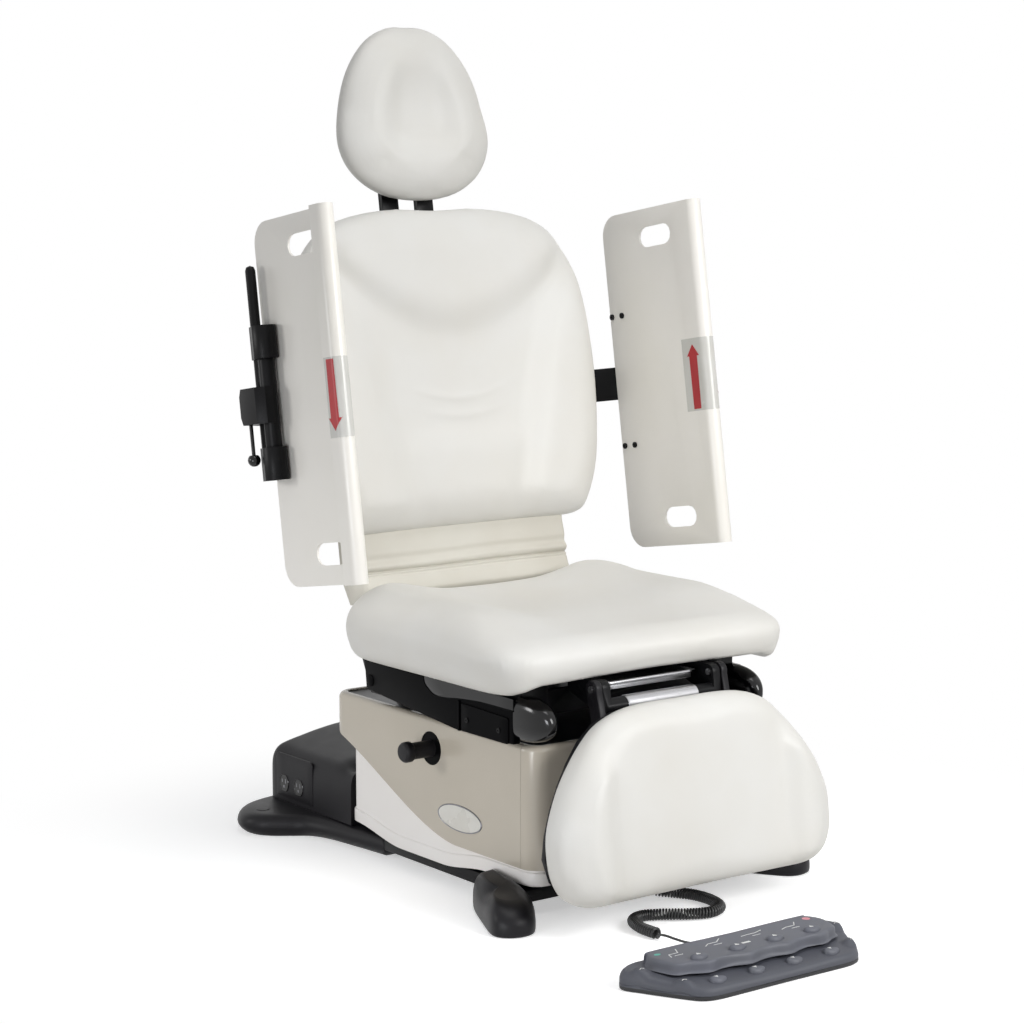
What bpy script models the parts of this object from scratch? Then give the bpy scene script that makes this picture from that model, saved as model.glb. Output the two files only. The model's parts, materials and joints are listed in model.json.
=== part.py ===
# A power procedure chair with swing-out side rails, a drain pan and a corded foot control.
# Metres, +Z up.  The front is -Y, the patient's right is -X, and the floor is Z = 0.

import math

import bmesh
import bpy
from mathutils import Matrix, Vector

# Clearances
GAP = 0.0003
RUN = 0.0005
SLIDE = 0.0012
SEAM = 0.0008

# Base: a steel plate between two front feet and a wide rear foot
BASE_HALF = 0.228
BASE_FRONT = 0.345
BASE_REAR = 0.098
BASE_CLEAR = 0.016
BASE_THICK = 0.024
FRONT_FOOT_REACH = 0.462
FRONT_FOOT_REAR = 0.238
FRONT_FOOT_SPREAD = 0.360
FRONT_FOOT_HEIGHT = 0.066
REAR_FOOT_HALF = 0.350
REAR_FOOT_END = 0.525
REAR_FOOT_HEIGHT = 0.042

# Power box on the rear foot, with its outlet panel
BOX_END = 0.505
BOX_SHOULDER = 0.150
BOX_TOP = 0.178
PANEL_LENGTH = 0.124
PANEL_HEIGHT = 0.078
PANEL_THICK = 0.004
PANEL_BACK = 0.040
OUTLET_STEP = 0.052
OUTLET_RADIUS = 0.0165
OUTLET_DEPTH = 0.0022

# Lift covers: lower on the base, middle half way, upper on the carriage
LOWER_WALL = 0.0045
MIDDLE_WALL = 0.0022
UPPER_WALL = 0.0040
COVER_CORNER = 0.027
COVER_FRONT = 0.372
COVER_REAR = 0.203
UPPER_REAR = 0.252
UPPER_TOP = 0.300
LOWER_LOW = 0.034
LOWER_STEP_REAR = 0.022
LOWER_STEP_FRONT = 0.016
SWEEP_LOW = 0.080
SWEEP_RISE = 0.148
SWEEP_START = -0.150

# Lift column, its stages and its motor
COLUMN_Y = -0.075
COLUMN_SIDE = 0.150
COLUMN_WALL = 0.006
COLUMN_DROP = 0.008
STAGE_THICK = 0.004
WEB_THICK = 0.003
PLATE_THICK = 0.012
PLATE_DROP = 0.003
MOTOR_WIDTH = 0.090
MOTOR_DEPTH = 0.070
MOTOR_HEIGHT = 0.130

# Turning handle on the right cover
HANDLE_Y = -0.076
HANDLE_Z = 0.246
HANDLE_DISC = 0.0285
HANDLE_DISC_THICK = 0.0030
HANDLE_SHAFT = 0.0155
HANDLE_CAP = 0.0190
HANDLE_CAP_LENGTH = 0.020
HANDLE_LENGTH = 0.064

# Seat
SEAT_HALF = 0.335
SEAT_FRONT = 0.434
SEAT_REAR = 0.125
SEAT_UNDER = 0.415
SEAT_SIDE = 0.040
SEAT_CROWN = 0.048
SEAT_LIP = 0.018
SEAT_LIP_RUN = 0.040
SEAT_BOLSTER = 0.020
SEAT_DIP = 0.010

# Seat frame, side covers and noses
FRAME_TOP_THICK = 0.007
FRAME_OVER = 0.0013
FRAME_FRONT = 0.350
FRAME_LOW = 0.332
RAIL_WIDTH = 0.057
CROSS_BEHIND = 0.045
CROSS_THICK = 0.010
CROSS_LOW = 0.345
SIDE_COVER_THICK = 0.019
SIDE_COVER_TOP = 0.392
SIDE_COVER_LOW = 0.304
SIDE_COVER_REAR = 0.112
NOSE_LENGTH = 0.084
NOSE_WIDTH = 0.050
NOSE_HEIGHT = 0.080
NOSE_LOW = 0.310

# Hinges under and behind the seat
TILT_Y = 0.100
TILT_Z = 0.336
TILT_PIN = 0.008
TILT_EAR = 0.015
BACK_HINGE_Y = 0.150
BACK_HINGE_Z = 0.430
BACK_PIN = 0.007
KNUCKLE = 0.019
KNUCKLE_WIDTH = 0.034
FOOT_HINGE_Y = -0.425
FOOT_HINGE_Z = 0.400
FOOT_PIN = 0.006
FOOT_EAR_X = 0.118
FOOT_EAR_WIDTH = 0.016

# Drain pan and its runners
PAN_HALF = 0.094
PAN_RIM = 0.010
PAN_LENGTH = 0.300
PAN_FRONT = 0.405
PAN_DEPTH = 0.014
PAN_WALL = 0.0015
RUNNER_WIDTH = 0.016
RUNNER_THICK = 0.0035
PAN_HEADROOM = 0.004

# Back, in its own leaning frame: X across, -Y to the front, Z up along the back
BACK_LEAN = math.radians(9.0)
BACK_REF_Y = 0.1386
BACK_REF_Z = 0.465
BACK_HALF = 0.354
BACK_TOP = 0.758
BACK_LOW = 0.142
BACK_FRONT_DEPTH = 0.046
BACK_REAR_DEPTH = 0.0465
BACK_BOLSTER = 0.012
APRON_HALF = 0.257
APRON_LOW = 0.030
APRON_FRONT = 0.017
APRON_FOLD = 0.006
SPINE_HALF = 0.200
SPINE_TOP = 0.700
SPINE_LOW = 0.020
SPINE_THICK = 0.031

# Headrest
HEAD_HALF = 0.172
HEAD_LOW = 0.779
HEAD_HEIGHT = 0.335
HEAD_SETBACK = 0.036
HEAD_DEPTH = 0.0415
HEAD_DISH = 0.014
HEAD_PLATE_THICK = 0.006
HEAD_PLATE_HALF = 0.085
HEAD_AXIS_UP = 0.806
HEAD_PIN = 0.005
POST_INNER = 0.022
POST_HALF = 0.060
POST_THICK = 0.012
POST_LOW = 0.500
POST_CROSS = 0.032
GUIDE_LOW = 0.600
GUIDE_HEIGHT = 0.080
GUIDE_WALL = 0.014
GUIDE_BACK = 0.006

# Side rails, their pivot tubes, brackets and release knobs
RAIL_INNER = 0.407
RAIL_THICK = 0.004
RAIL_LOW = 0.064
RAIL_LENGTH = 0.667
RAIL_REAR = 0.011
RAIL_DEPTH = 0.261
RAIL_CORNER = 0.042
LIP_RADIUS = 0.0165
LIP_RETURN = 0.023
SLOT_LENGTH = 0.095
SLOT_HEIGHT = 0.040
SLOT_AHEAD = 0.160
SLOT_INSET = 0.056
TUBE_RADIUS = 0.015
TUBE_AHEAD = 0.035
TUBE_OUT = 0.0200
COLLAR_RADIUS = 0.0245
COLLAR_HEIGHT = 0.060
COLLAR_LOW = 0.197
COLLAR_HIGH = 0.418
ROD_RADIUS = 0.0095
ROD_BEHIND = 0.0255
ROD_RISE = 0.112
ARM_LOW = 0.365
ARM_HEIGHT = 0.066
ARM_THICK = 0.014
BLOCK_WIDTH = 0.034
BLOCK_CHAMFER = 0.014
BLOCK_BACK = 0.004
BLOCK_CUT = 0.008
ARM_BEND_X = 0.400
SADDLE_LIP = 0.003
KNOB_RADIUS = 0.012
KNOB_STEM = 0.0035
KNOB_DROP = 0.064
KNOB_DEPTH = 0.016
KNOB_BACK = 0.030
KNOB_OUT = 0.0265

# Foot section, in its own leaning frame with its origin at the pad's top
PAD_LEAN = math.radians(8.0)
PAD_TOP_Y = -0.488
PAD_TOP_Z = 0.384
PAD_HALF = 0.311
PAD_HEIGHT = 0.336
PAD_FRONT_DEPTH = 0.045
PAD_REAR_DEPTH = 0.035
PAD_CHANNEL = 0.007
PAD_CHANNEL_X = 0.222
BOARD_THICK = 0.010
BOARD_INSET = 0.012
LINK_X = 0.1365
LINK_WIDTH = 0.013
LINK_REACH = 0.130
CROSS_TUBE = 0.0145
CROSS_DROP = 0.009

# Foot control on the floor, and its curly cord
CONTROL_X = -0.134
CONTROL_Y = -0.828
CONTROL_FRONT_HALF = 0.176
CONTROL_REAR_HALF = 0.236
CONTROL_DEPTH = 0.158
CONTROL_LOW = 0.020
CONTROL_SLOPE = 0.012
DECK_HALF = 0.186
DECK_DEPTH = 0.104
DECK_HEIGHT = 0.016
BUTTON_STEP = 0.082
BUTTON_LENGTH = 0.034
BUTTON_WIDTH = 0.022
BUTTON_RISE = 0.007
BUTTON_SKIRT = 0.0035
BUTTON_TRAVEL = 0.002
POCKET_ROW_FRONT = -0.054
POCKET_ROW_REAR = -0.008
RELIEF_RADIUS = 0.006
RELIEF_LENGTH = 0.024
RELIEF_X = 0.024
RELIEF_UP = 0.008
CORD_RADIUS = 0.00225
COIL_RADIUS = 0.00825
CURLS = 42
CURL_POINTS = 8
PLUG_RADIUS = 0.0085
PLUG_LENGTH = 0.022
PLUG_X = -0.004
CORD_REST = 0.0005

# Where the cord lies, ahead of the plug and behind the foot control
COIL_ROUTE = [(0.000, -0.386, 0.0245), (0.012, -0.410, 0.0140), (0.036, -0.436, None),
              (0.053, -0.468, None), (0.056, -0.508, None), (0.042, -0.549, None),
              (0.006, -0.565, None), (-0.032, -0.551, None), (-0.072, -0.524, None),
              (-0.104, -0.511, None), (-0.134, -0.523, None), (-0.149, -0.558, None),
              (-0.151, -0.592, None), (-0.147, -0.622, None)]
LEAD_ROUTE = [(-0.134, -0.660, 0.0066), (-0.116, -0.692, 0.0062)]

# Finishes: colour, roughness, metallic
FINISHES = {
    "warm_white_vinyl": ((0.76, 0.735, 0.69), 0.42, 0.0),
    "off_white_powder_coat": ((0.80, 0.785, 0.75), 0.36, 0.0),
    "beige_moulded_plastic": ((0.62, 0.58, 0.51), 0.38, 0.0),
    "pale_moulded_plastic": ((0.74, 0.72, 0.68), 0.40, 0.0),
    "black_textured_plastic": ((0.018, 0.018, 0.020), 0.55, 0.0),
    "black_gloss_plastic": ((0.010, 0.010, 0.012), 0.12, 0.0),
    "black_coated_steel": ((0.016, 0.016, 0.017), 0.42, 0.3),
    "bright_steel": ((0.62, 0.62, 0.63), 0.24, 1.0),
    "grey_rubber": ((0.085, 0.090, 0.110), 0.62, 0.0),
    "dark_rubber": ((0.055, 0.058, 0.072), 0.60, 0.0),
    "black_cord_jacket": ((0.012, 0.012, 0.012), 0.38, 0.0),
}

# Sizes that follow from the ones above
SIDES = (("right", -1.0), ("left", 1.0))
BASE_TOP = BASE_CLEAR + BASE_THICK
LOWER_HALF = BASE_HALF + GAP + LOWER_WALL
MIDDLE_STEP = SLIDE + MIDDLE_WALL
UPPER_STEP = MIDDLE_STEP + SLIDE + UPPER_WALL
UPPER_HALF = LOWER_HALF + UPPER_STEP
BOX_HALF = LOWER_HALF - GAP
FRAME_HALF = UPPER_HALF + FRAME_OVER
HOLLOW_HALF = FRAME_HALF + PAN_HEADROOM
PLATE_TOP = UPPER_TOP - PLATE_DROP
PLATE_LOW = PLATE_TOP - PLATE_THICK
STAGE_TOP = PLATE_LOW - COLUMN_DROP
WEB_LOW = STAGE_TOP - WEB_THICK
FLANGE_LOW = WEB_LOW - GAP - STAGE_THICK
LOWER_TOP = FLANGE_LOW - SLIDE
SEAT_MID = SEAT_UNDER + SEAT_SIDE
FRAME_TOP = SEAT_UNDER - GAP
FRAME_DECK = FRAME_TOP - FRAME_TOP_THICK
RAIL_IN_X = FRAME_HALF - RAIL_WIDTH
SIDE_COVER_IN = FRAME_HALF + GAP
SPINE_FRONT = BACK_REAR_DEPTH + GAP
SPINE_REAR = SPINE_FRONT + SPINE_THICK
POST_FRONT = SPINE_REAR + GAP
POST_REAR = POST_FRONT + POST_THICK
HEAD_REAR = HEAD_SETBACK + HEAD_DEPTH
HEAD_PLATE_REAR = HEAD_REAR + GAP + HEAD_PLATE_THICK
HEAD_AXIS_BACK = POST_FRONT + POST_THICK / 2.0
RAIL_OUTER = RAIL_INNER + RAIL_THICK
TUBE_X = RAIL_OUTER + TUBE_OUT
TUBE_FORE = RAIL_REAR + TUBE_AHEAD
ROD_FORE = TUBE_FORE - ROD_BEHIND
BLOCK_IN_X = TUBE_X + ROD_RADIUS + SLIDE
ARM_FRONT = SPINE_FRONT + SLIDE
KNOB_X = TUBE_X + KNOB_OUT
KNOB_FORE = TUBE_FORE - KNOB_BACK
BOARD_FRONT = PAD_REAR_DEPTH + GAP
CONTROL_FRONT = CONTROL_Y - CONTROL_DEPTH / 2.0
CORD_FLOOR = COIL_RADIUS + CORD_RADIUS + CORD_REST
SHIFT_Y = -(CONTROL_FRONT + REAR_FOOT_END) / 2.0

# Frames that the pieces are drawn in
CHAIR = Matrix.Translation((0.0, SHIFT_Y, 0.0))
BACK = CHAIR @ Matrix.Translation((0.0, BACK_REF_Y, BACK_REF_Z)) @ Matrix.Rotation(-BACK_LEAN, 4, "X")
FOOT = CHAIR @ Matrix.Translation((0.0, PAD_TOP_Y, PAD_TOP_Z)) @ Matrix.Rotation(-PAD_LEAN, 4, "X")
CONTROL = CHAIR @ Matrix.Translation((CONTROL_X, CONTROL_Y, 0.0))


def clear_scene():
    for old in list(bpy.data.objects):
        bpy.data.objects.remove(old, do_unlink=True)


def finish_material(finish):
    found = bpy.data.materials.get(finish)
    if found:
        return found
    colour, roughness, metallic = FINISHES[finish]
    made = bpy.data.materials.new(finish)
    made.use_nodes = True
    shader = made.node_tree.nodes["Principled BSDF"]
    shader.inputs["Base Color"].default_value = (*colour, 1.0)
    shader.inputs["Roughness"].default_value = roughness
    shader.inputs["Metallic"].default_value = metallic
    made.diffuse_color = (*colour, 1.0)
    return made


# Joint axes: each pivot is an empty, and keeps its place in the world
PIVOTS = {}


def add_pivot(name, parent=None, frame=CHAIR, point=(0.0, 0.0, 0.0)):
    place = frame @ Matrix.Translation(point)
    empty = bpy.data.objects.new(name, None)
    empty.empty_display_size = 0.05
    bpy.context.scene.collection.objects.link(empty)
    if parent:
        empty.parent = bpy.data.objects[parent]
        empty.matrix_basis = PIVOTS[parent].inverted() @ place
    else:
        empty.matrix_basis = place
    PIVOTS[name] = place


def add_object(name, body, pivot, frame):
    body.transform(PIVOTS[pivot].inverted() @ frame)
    bmesh.ops.remove_doubles(body, verts=body.verts, dist=1e-7)
    bmesh.ops.recalc_face_normals(body, faces=body.faces)
    mesh = bpy.data.meshes.new(name)
    body.to_mesh(mesh)
    body.free()
    made = bpy.data.objects.new(name, mesh)
    made.parent = bpy.data.objects[pivot]
    bpy.context.scene.collection.objects.link(made)
    return made


def add_part(name, body, finish, pivot, frame=CHAIR, smooth_angle=35.0):
    made = add_object(name, body, pivot, frame)
    made.data.materials.append(finish_material(finish))
    made.data.shade_smooth()
    made.data.set_sharp_from_angle(angle=math.radians(smooth_angle))
    return made


def combine(target, helper_body, operation, pivot, frame=CHAIR):
    order = str(len(target.modifiers) + 1)
    helper = add_object(target.name + "_" + operation.lower() + "_" + order, helper_body, pivot, frame)
    helper.hide_render = True
    helper.display_type = "WIRE"
    step = target.modifiers.new(operation.title(), "BOOLEAN")
    step.operation = operation
    step.solver = "EXACT"
    step.object = helper


def bevel_edges(target, width, segments=1, angle=40.0):
    step = target.modifiers.new("Bevel", "BEVEL")
    step.width = width
    step.segments = segments
    step.limit_method = "ANGLE"
    step.angle_limit = math.radians(angle)


# Shapes
def loft(rings, loop=False, body=None):
    body = body or bmesh.new()
    made = [[body.verts.new(point) for point in ring] for ring in rings]
    pairs = list(zip(made, made[1:]))
    if loop:
        pairs.append((made[-1], made[0]))
    for first, second in pairs:
        join_rings(body, first, second)
    if not loop:
        for end in (made[0], made[-1]):
            if len(end) > 2:
                body.faces.new(end)
    return body


def join_rings(body, first, second):
    count = max(len(first), len(second))
    for step in range(count):
        after = (step + 1) % count
        if len(first) == 1:
            body.faces.new((first[0], second[step], second[after]))
        elif len(second) == 1:
            body.faces.new((first[step], second[0], first[after]))
        else:
            body.faces.new((first[step], second[step], second[after], first[after]))


def place_on(axis, along, first, second):
    if axis == "X":
        return Vector((along, first, second))
    if axis == "Y":
        return Vector((first, along, second))
    return Vector((first, second, along))


def prism(points, axis, start, end, body=None):
    rings = [[place_on(axis, along, first, second) for first, second in points] for along in (start, end)]
    return loft(rings, body=body)


def box(low, high, body=None):
    corners = [(low[0], low[1]), (high[0], low[1]), (high[0], high[1]), (low[0], high[1])]
    return prism(corners, "Z", low[2], high[2], body=body)


def arc(centre, radius, start, end, steps):
    points = []
    for step in range(steps + 1):
        angle = math.radians(start + (end - start) * step / steps)
        points.append((centre[0] + radius * math.cos(angle), centre[1] + radius * math.sin(angle)))
    return points


def rod(axis, centre, radius, start, end, sides=20, body=None):
    circle = arc(centre, radius, 0.0, 360.0 * (sides - 1) / sides, sides - 1)
    return prism(circle, axis, start, end, body=body)


def turned(axis, centre, profile, sides=24, body=None):
    rings = []
    for radius, along in profile:
        if radius == 0.0:
            rings.append([place_on(axis, along, *centre)])
        else:
            circle = arc(centre, radius, 0.0, 360.0 * (sides - 1) / sides, sides - 1)
            rings.append([place_on(axis, along, *point) for point in circle])
    return loft(rings, body=body)


def obround(centre, length, height, steps=6):
    reach = (length - height) / 2.0
    right = arc((centre[0] + reach, centre[1]), height / 2.0, -90.0, 90.0, steps)
    left = arc((centre[0] - reach, centre[1]), height / 2.0, 90.0, 270.0, steps)
    return right + left


def spline(points, per_span, closed=False):
    knots = [Vector(point) for point in points]
    count = len(knots)
    spans = count if closed else count - 1
    curve = []
    for span in range(spans):
        before = knots[(span - 1) % count] if closed or span else knots[0] * 2.0 - knots[1]
        here = knots[span]
        there = knots[(span + 1) % count]
        last = knots[-1] * 2.0 - knots[-2]
        after = knots[(span + 2) % count] if closed or span + 2 < count else last
        for step in range(per_span):
            share = step / per_span
            bend = 0.5 * (here * 2.0 + (there - before) * share
                          + (before * 2.0 - here * 5.0 + there * 4.0 - after) * share ** 2
                          + (here * 3.0 - before - there * 3.0 + after) * share ** 3)
            curve.append(bend)
    if not closed:
        curve.append(knots[-1])
    return curve


def even_points(curve, count, closed=False):
    path = curve + [curve[0]] if closed else curve
    lengths = [0.0]
    for first, second in zip(path, path[1:]):
        lengths.append(lengths[-1] + (second - first).length)
    wanted = count if closed else count - 1
    points = []
    place = 0
    for step in range(count):
        target = lengths[-1] * step / wanted
        while place < len(path) - 2 and lengths[place + 1] < target:
            place += 1
        share = (target - lengths[place]) / max(lengths[place + 1] - lengths[place], 1e-12)
        points.append(path[place].lerp(path[place + 1], share))
    return points


def mirrored_outline(half, count):
    # The half runs from one point on the centre line to another, on the +X side.
    whole = list(half) + [(-x, other) for x, other in reversed(half[1:-1])]
    return even_points(spline(whole, 8, closed=True), count, closed=True)


def moulded(outline, centre, up, down=(), inner_up=(), inner_down=(), level=0.0, relief=None, under=None):
    # Rings step in from the outline: up and down are lists of inset and height.
    # The inner rings are shares of the way from the last ring to the centre, which ends in a point.
    middle = Vector(centre)

    def ring_at(inset, height, change):
        ring = []
        for point in outline:
            inward = middle - point
            flat = point + inward.normalized() * min(inset, inward.length * 0.92)
            ring.append(Vector((flat.x, flat.y, level + height + change(flat))))
        return ring

    def pole_rings(last, share_list, height, change):
        rings = []
        for share in share_list:
            ring = []
            for point in last:
                flat = Vector((point.x, point.y)).lerp(middle, share)
                ring.append(Vector((flat.x, flat.y, level + height + change(flat))))
            rings.append(ring)
        rings.append([Vector((middle.x, middle.y, level + height + change(middle)))])
        return rings

    def grown(change, share):
        return lambda flat: change(flat) * share if change else 0.0

    lower = [ring_at(inset, -depth, grown(under, (order + 1) / len(down)))
             for order, (inset, depth) in enumerate(down)]
    upper = [ring_at(inset, height, grown(relief, (order + 1) / len(up)))
             for order, (inset, height) in enumerate(up)]
    rings = list(reversed(lower)) + [ring_at(0.0, 0.0, grown(None, 0.0))] + upper
    if inner_down:
        poles = pole_rings(lower[-1], inner_down, -down[-1][1], grown(under, 1.0))
        rings = list(reversed(poles)) + rings
    if inner_up:
        rings = rings + pole_rings(upper[-1], inner_up, up[-1][1], grown(relief, 1.0))
    return loft(rings)


def round_over(width, height, steps):
    # A quarter ellipse from the outline in to the flat top
    rings = []
    for step in range(1, steps + 1):
        angle = math.pi / 2.0 * step / steps
        rings.append((width * (1.0 - math.cos(angle)), height * math.sin(angle)))
    return rings


def smooth_step(low, high, value):
    share = min(max((value - low) / (high - low), 0.0), 1.0)
    return share * share * (3.0 - 2.0 * share)


def bump(value, centre, width):
    return math.exp(-((value - centre) / width) ** 2)


# Lift covers
def cover_path(half, front, rear, corner, side_steps=10, corner_steps=4):
    # The rear part runs from the left seam round the back to the right seam, then the front part closes it.
    left_rear = arc((half - corner, rear - corner), corner, 0.0, 90.0, corner_steps)
    right_rear = arc((-half + corner, rear - corner), corner, 90.0, 180.0, corner_steps)
    right_front = arc((-half + corner, -front + corner), corner, 180.0, 270.0, corner_steps)
    left_front = arc((half - corner, -front + corner), corner, 270.0, 360.0, corner_steps)
    length = rear + front - 2.0 * corner
    steps = [length * step / side_steps for step in range(side_steps)]
    left_side = [(half, -front + corner + step) for step in steps]
    right_side = [(-half, rear - corner - step) for step in steps[1:] + [length]]
    return left_side + left_rear + right_rear + right_side, right_front + left_front


def whole_path(parts):
    return parts[0] + parts[1][1:-1]


def wall(outer, inner, low, high, loop):
    rings = []
    for (out_x, out_y), (in_x, in_y) in zip(outer, inner):
        foot = low(out_y)
        rings.append([Vector((out_x, out_y, foot)), Vector((out_x, out_y, high)),
                      Vector((in_x, in_y, high)), Vector((in_x, in_y, foot))])
    return loft(rings, loop=loop)


def cover_pair(step, thick, rear):
    # Outer and inner outlines of a cover that lies a step outside the lower one
    corner = COVER_CORNER + step
    outer = cover_path(LOWER_HALF + step, COVER_FRONT + step, rear, corner)
    inner = cover_path(LOWER_HALF + step - thick, COVER_FRONT + step - thick, rear - thick, corner - thick)
    return outer, inner


def lower_edge(y):
    rear_rise = LOWER_STEP_REAR * smooth_step(0.03, COVER_REAR - 0.015, y)
    front_rise = LOWER_STEP_FRONT * smooth_step(0.10, 0.24, -y)
    return LOWER_LOW + rear_rise + front_rise


def swept_edge(y):
    share = (y - SWEEP_START) / (UPPER_REAR - SWEEP_START)
    return SWEEP_LOW + SWEEP_RISE * (0.45 * smooth_step(0.0, 1.0, share) + 0.55 * max(share, 0.0) ** 1.4)


def make_base():
    plate = box((-BASE_HALF, -BASE_FRONT, BASE_CLEAR), (BASE_HALF, BASE_REAR, BASE_TOP))
    add_part("base_frame", plate, "black_coated_steel", "base")
    inner = BASE_HALF + GAP
    reach = FRONT_FOOT_SPREAD - inner
    length = FRONT_FOOT_REACH - FRONT_FOOT_REAR
    mid = (FRONT_FOOT_REACH + FRONT_FOOT_REAR) / 2.0
    for side, sign in SIDES:
        half = [(0.0, 0.0), (0.30, 0.03), (0.55, 0.23), (0.81, 0.54), (1.0, 0.81), (0.955, 0.93), (0.77, 1.0),
                (0.54, 0.985), (0.32, 0.84), (0.09, 0.62), (0.0, 0.40)]
        knots = [(sign * (inner + reach * x), -FRONT_FOOT_REAR - length * y) for x, y in half]
        outline = [Vector(knots[0])] + even_points(spline(knots, 6), 24)[1:]
        centre = (sign * (inner + reach * 0.50), -FRONT_FOOT_REAR - length * 0.52)

        def slope(flat):
            return -0.30 * FRONT_FOOT_HEIGHT * smooth_step(mid, FRONT_FOOT_REACH, -flat.y)

        rounding = [(0.0, BASE_CLEAR + BASE_THICK * 0.25), (0.003, BASE_TOP), (0.016, BASE_TOP + 0.011),
                    (0.021, FRONT_FOOT_HEIGHT * 0.92), (0.032, FRONT_FOOT_HEIGHT)]
        foot = moulded(outline, centre, rounding, inner_up=(0.5,), relief=slope)
        add_part("front_foot_" + side, foot, "black_textured_plastic", "base", smooth_angle=60.0)

    # The rear foot is tucked in below its widest line.
    seat = BASE_REAR + GAP
    wide = REAR_FOOT_HALF
    end = REAR_FOOT_END
    knots = [(BASE_HALF, seat), (wide * 0.69, end - 0.325), (wide * 0.72, end - 0.255), (wide * 0.77, end - 0.207),
             (wide * 0.86, end - 0.180), (wide * 0.955, end - 0.152), (wide, end - 0.118),
             (wide * 0.965, end - 0.076), (wide * 0.87, end - 0.037), (wide * 0.70, end - 0.013),
             (wide * 0.40, end - 0.001), (0.0, end)]
    side_line = even_points(spline(knots, 6), 24)
    outline = side_line + [Vector((-point.x, point.y)) for point in reversed(side_line[:-1])]
    below = [(0.010, REAR_FOOT_HEIGHT * 0.30), (0.020, REAR_FOOT_HEIGHT * 0.42)]
    rounding = [(0.006, REAR_FOOT_HEIGHT * 0.40), (0.020, REAR_FOOT_HEIGHT * 0.58)]
    rear_foot = moulded(outline, (0.0, (seat + end) / 2.0), rounding, below, level=REAR_FOOT_HEIGHT * 0.42)
    add_part("rear_base_cover", rear_foot, "black_textured_plastic", "base", smooth_angle=60.0)


def make_power_box():
    low = REAR_FOOT_HEIGHT + GAP
    front = COVER_REAR + GAP
    shoulder = BOX_HALF - 0.020
    section = [(-BOX_HALF, low), (BOX_HALF, low), (BOX_HALF - 0.002, BOX_SHOULDER - 0.022),
               (BOX_HALF - 0.010, BOX_SHOULDER - 0.006), (shoulder, BOX_SHOULDER),
               (0.100, BOX_TOP), (-0.100, BOX_TOP), (-shoulder, BOX_SHOULDER),
               (-BOX_HALF + 0.010, BOX_SHOULDER - 0.006), (-BOX_HALF + 0.002, BOX_SHOULDER - 0.022)]
    housing = add_part("power_box", prism(section, "Y", front, BOX_END), "black_textured_plastic", "base")
    middle_y = BOX_END - PANEL_BACK - PANEL_LENGTH / 2.0
    panel_low = low + 0.014
    panel_high = panel_low + PANEL_HEIGHT
    reach = PANEL_LENGTH / 2.0
    pocket = box((-BOX_HALF - PANEL_THICK, middle_y - reach - GAP, panel_low - GAP),
                 (-BOX_HALF + PANEL_THICK, middle_y + reach + GAP, panel_high + GAP))
    combine(housing, pocket, "DIFFERENCE", "base")
    face = BOX_HALF - GAP
    panel = box((-face, middle_y - reach, panel_low),
                (-BOX_HALF + PANEL_THICK - GAP, middle_y + reach, panel_high))
    plate = add_part("outlet_panel", panel, "black_gloss_plastic", "base")
    wells = bmesh.new()
    for sign in (-1.0, 1.0):
        centre = (middle_y + sign * OUTLET_STEP / 2.0, (panel_low + panel_high) / 2.0 - 0.010)
        rod("X", centre, OUTLET_RADIUS, -BOX_HALF - PANEL_THICK, -face + OUTLET_DEPTH, 18, body=wells)
    combine(plate, wells, "DIFFERENCE", "base")


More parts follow.
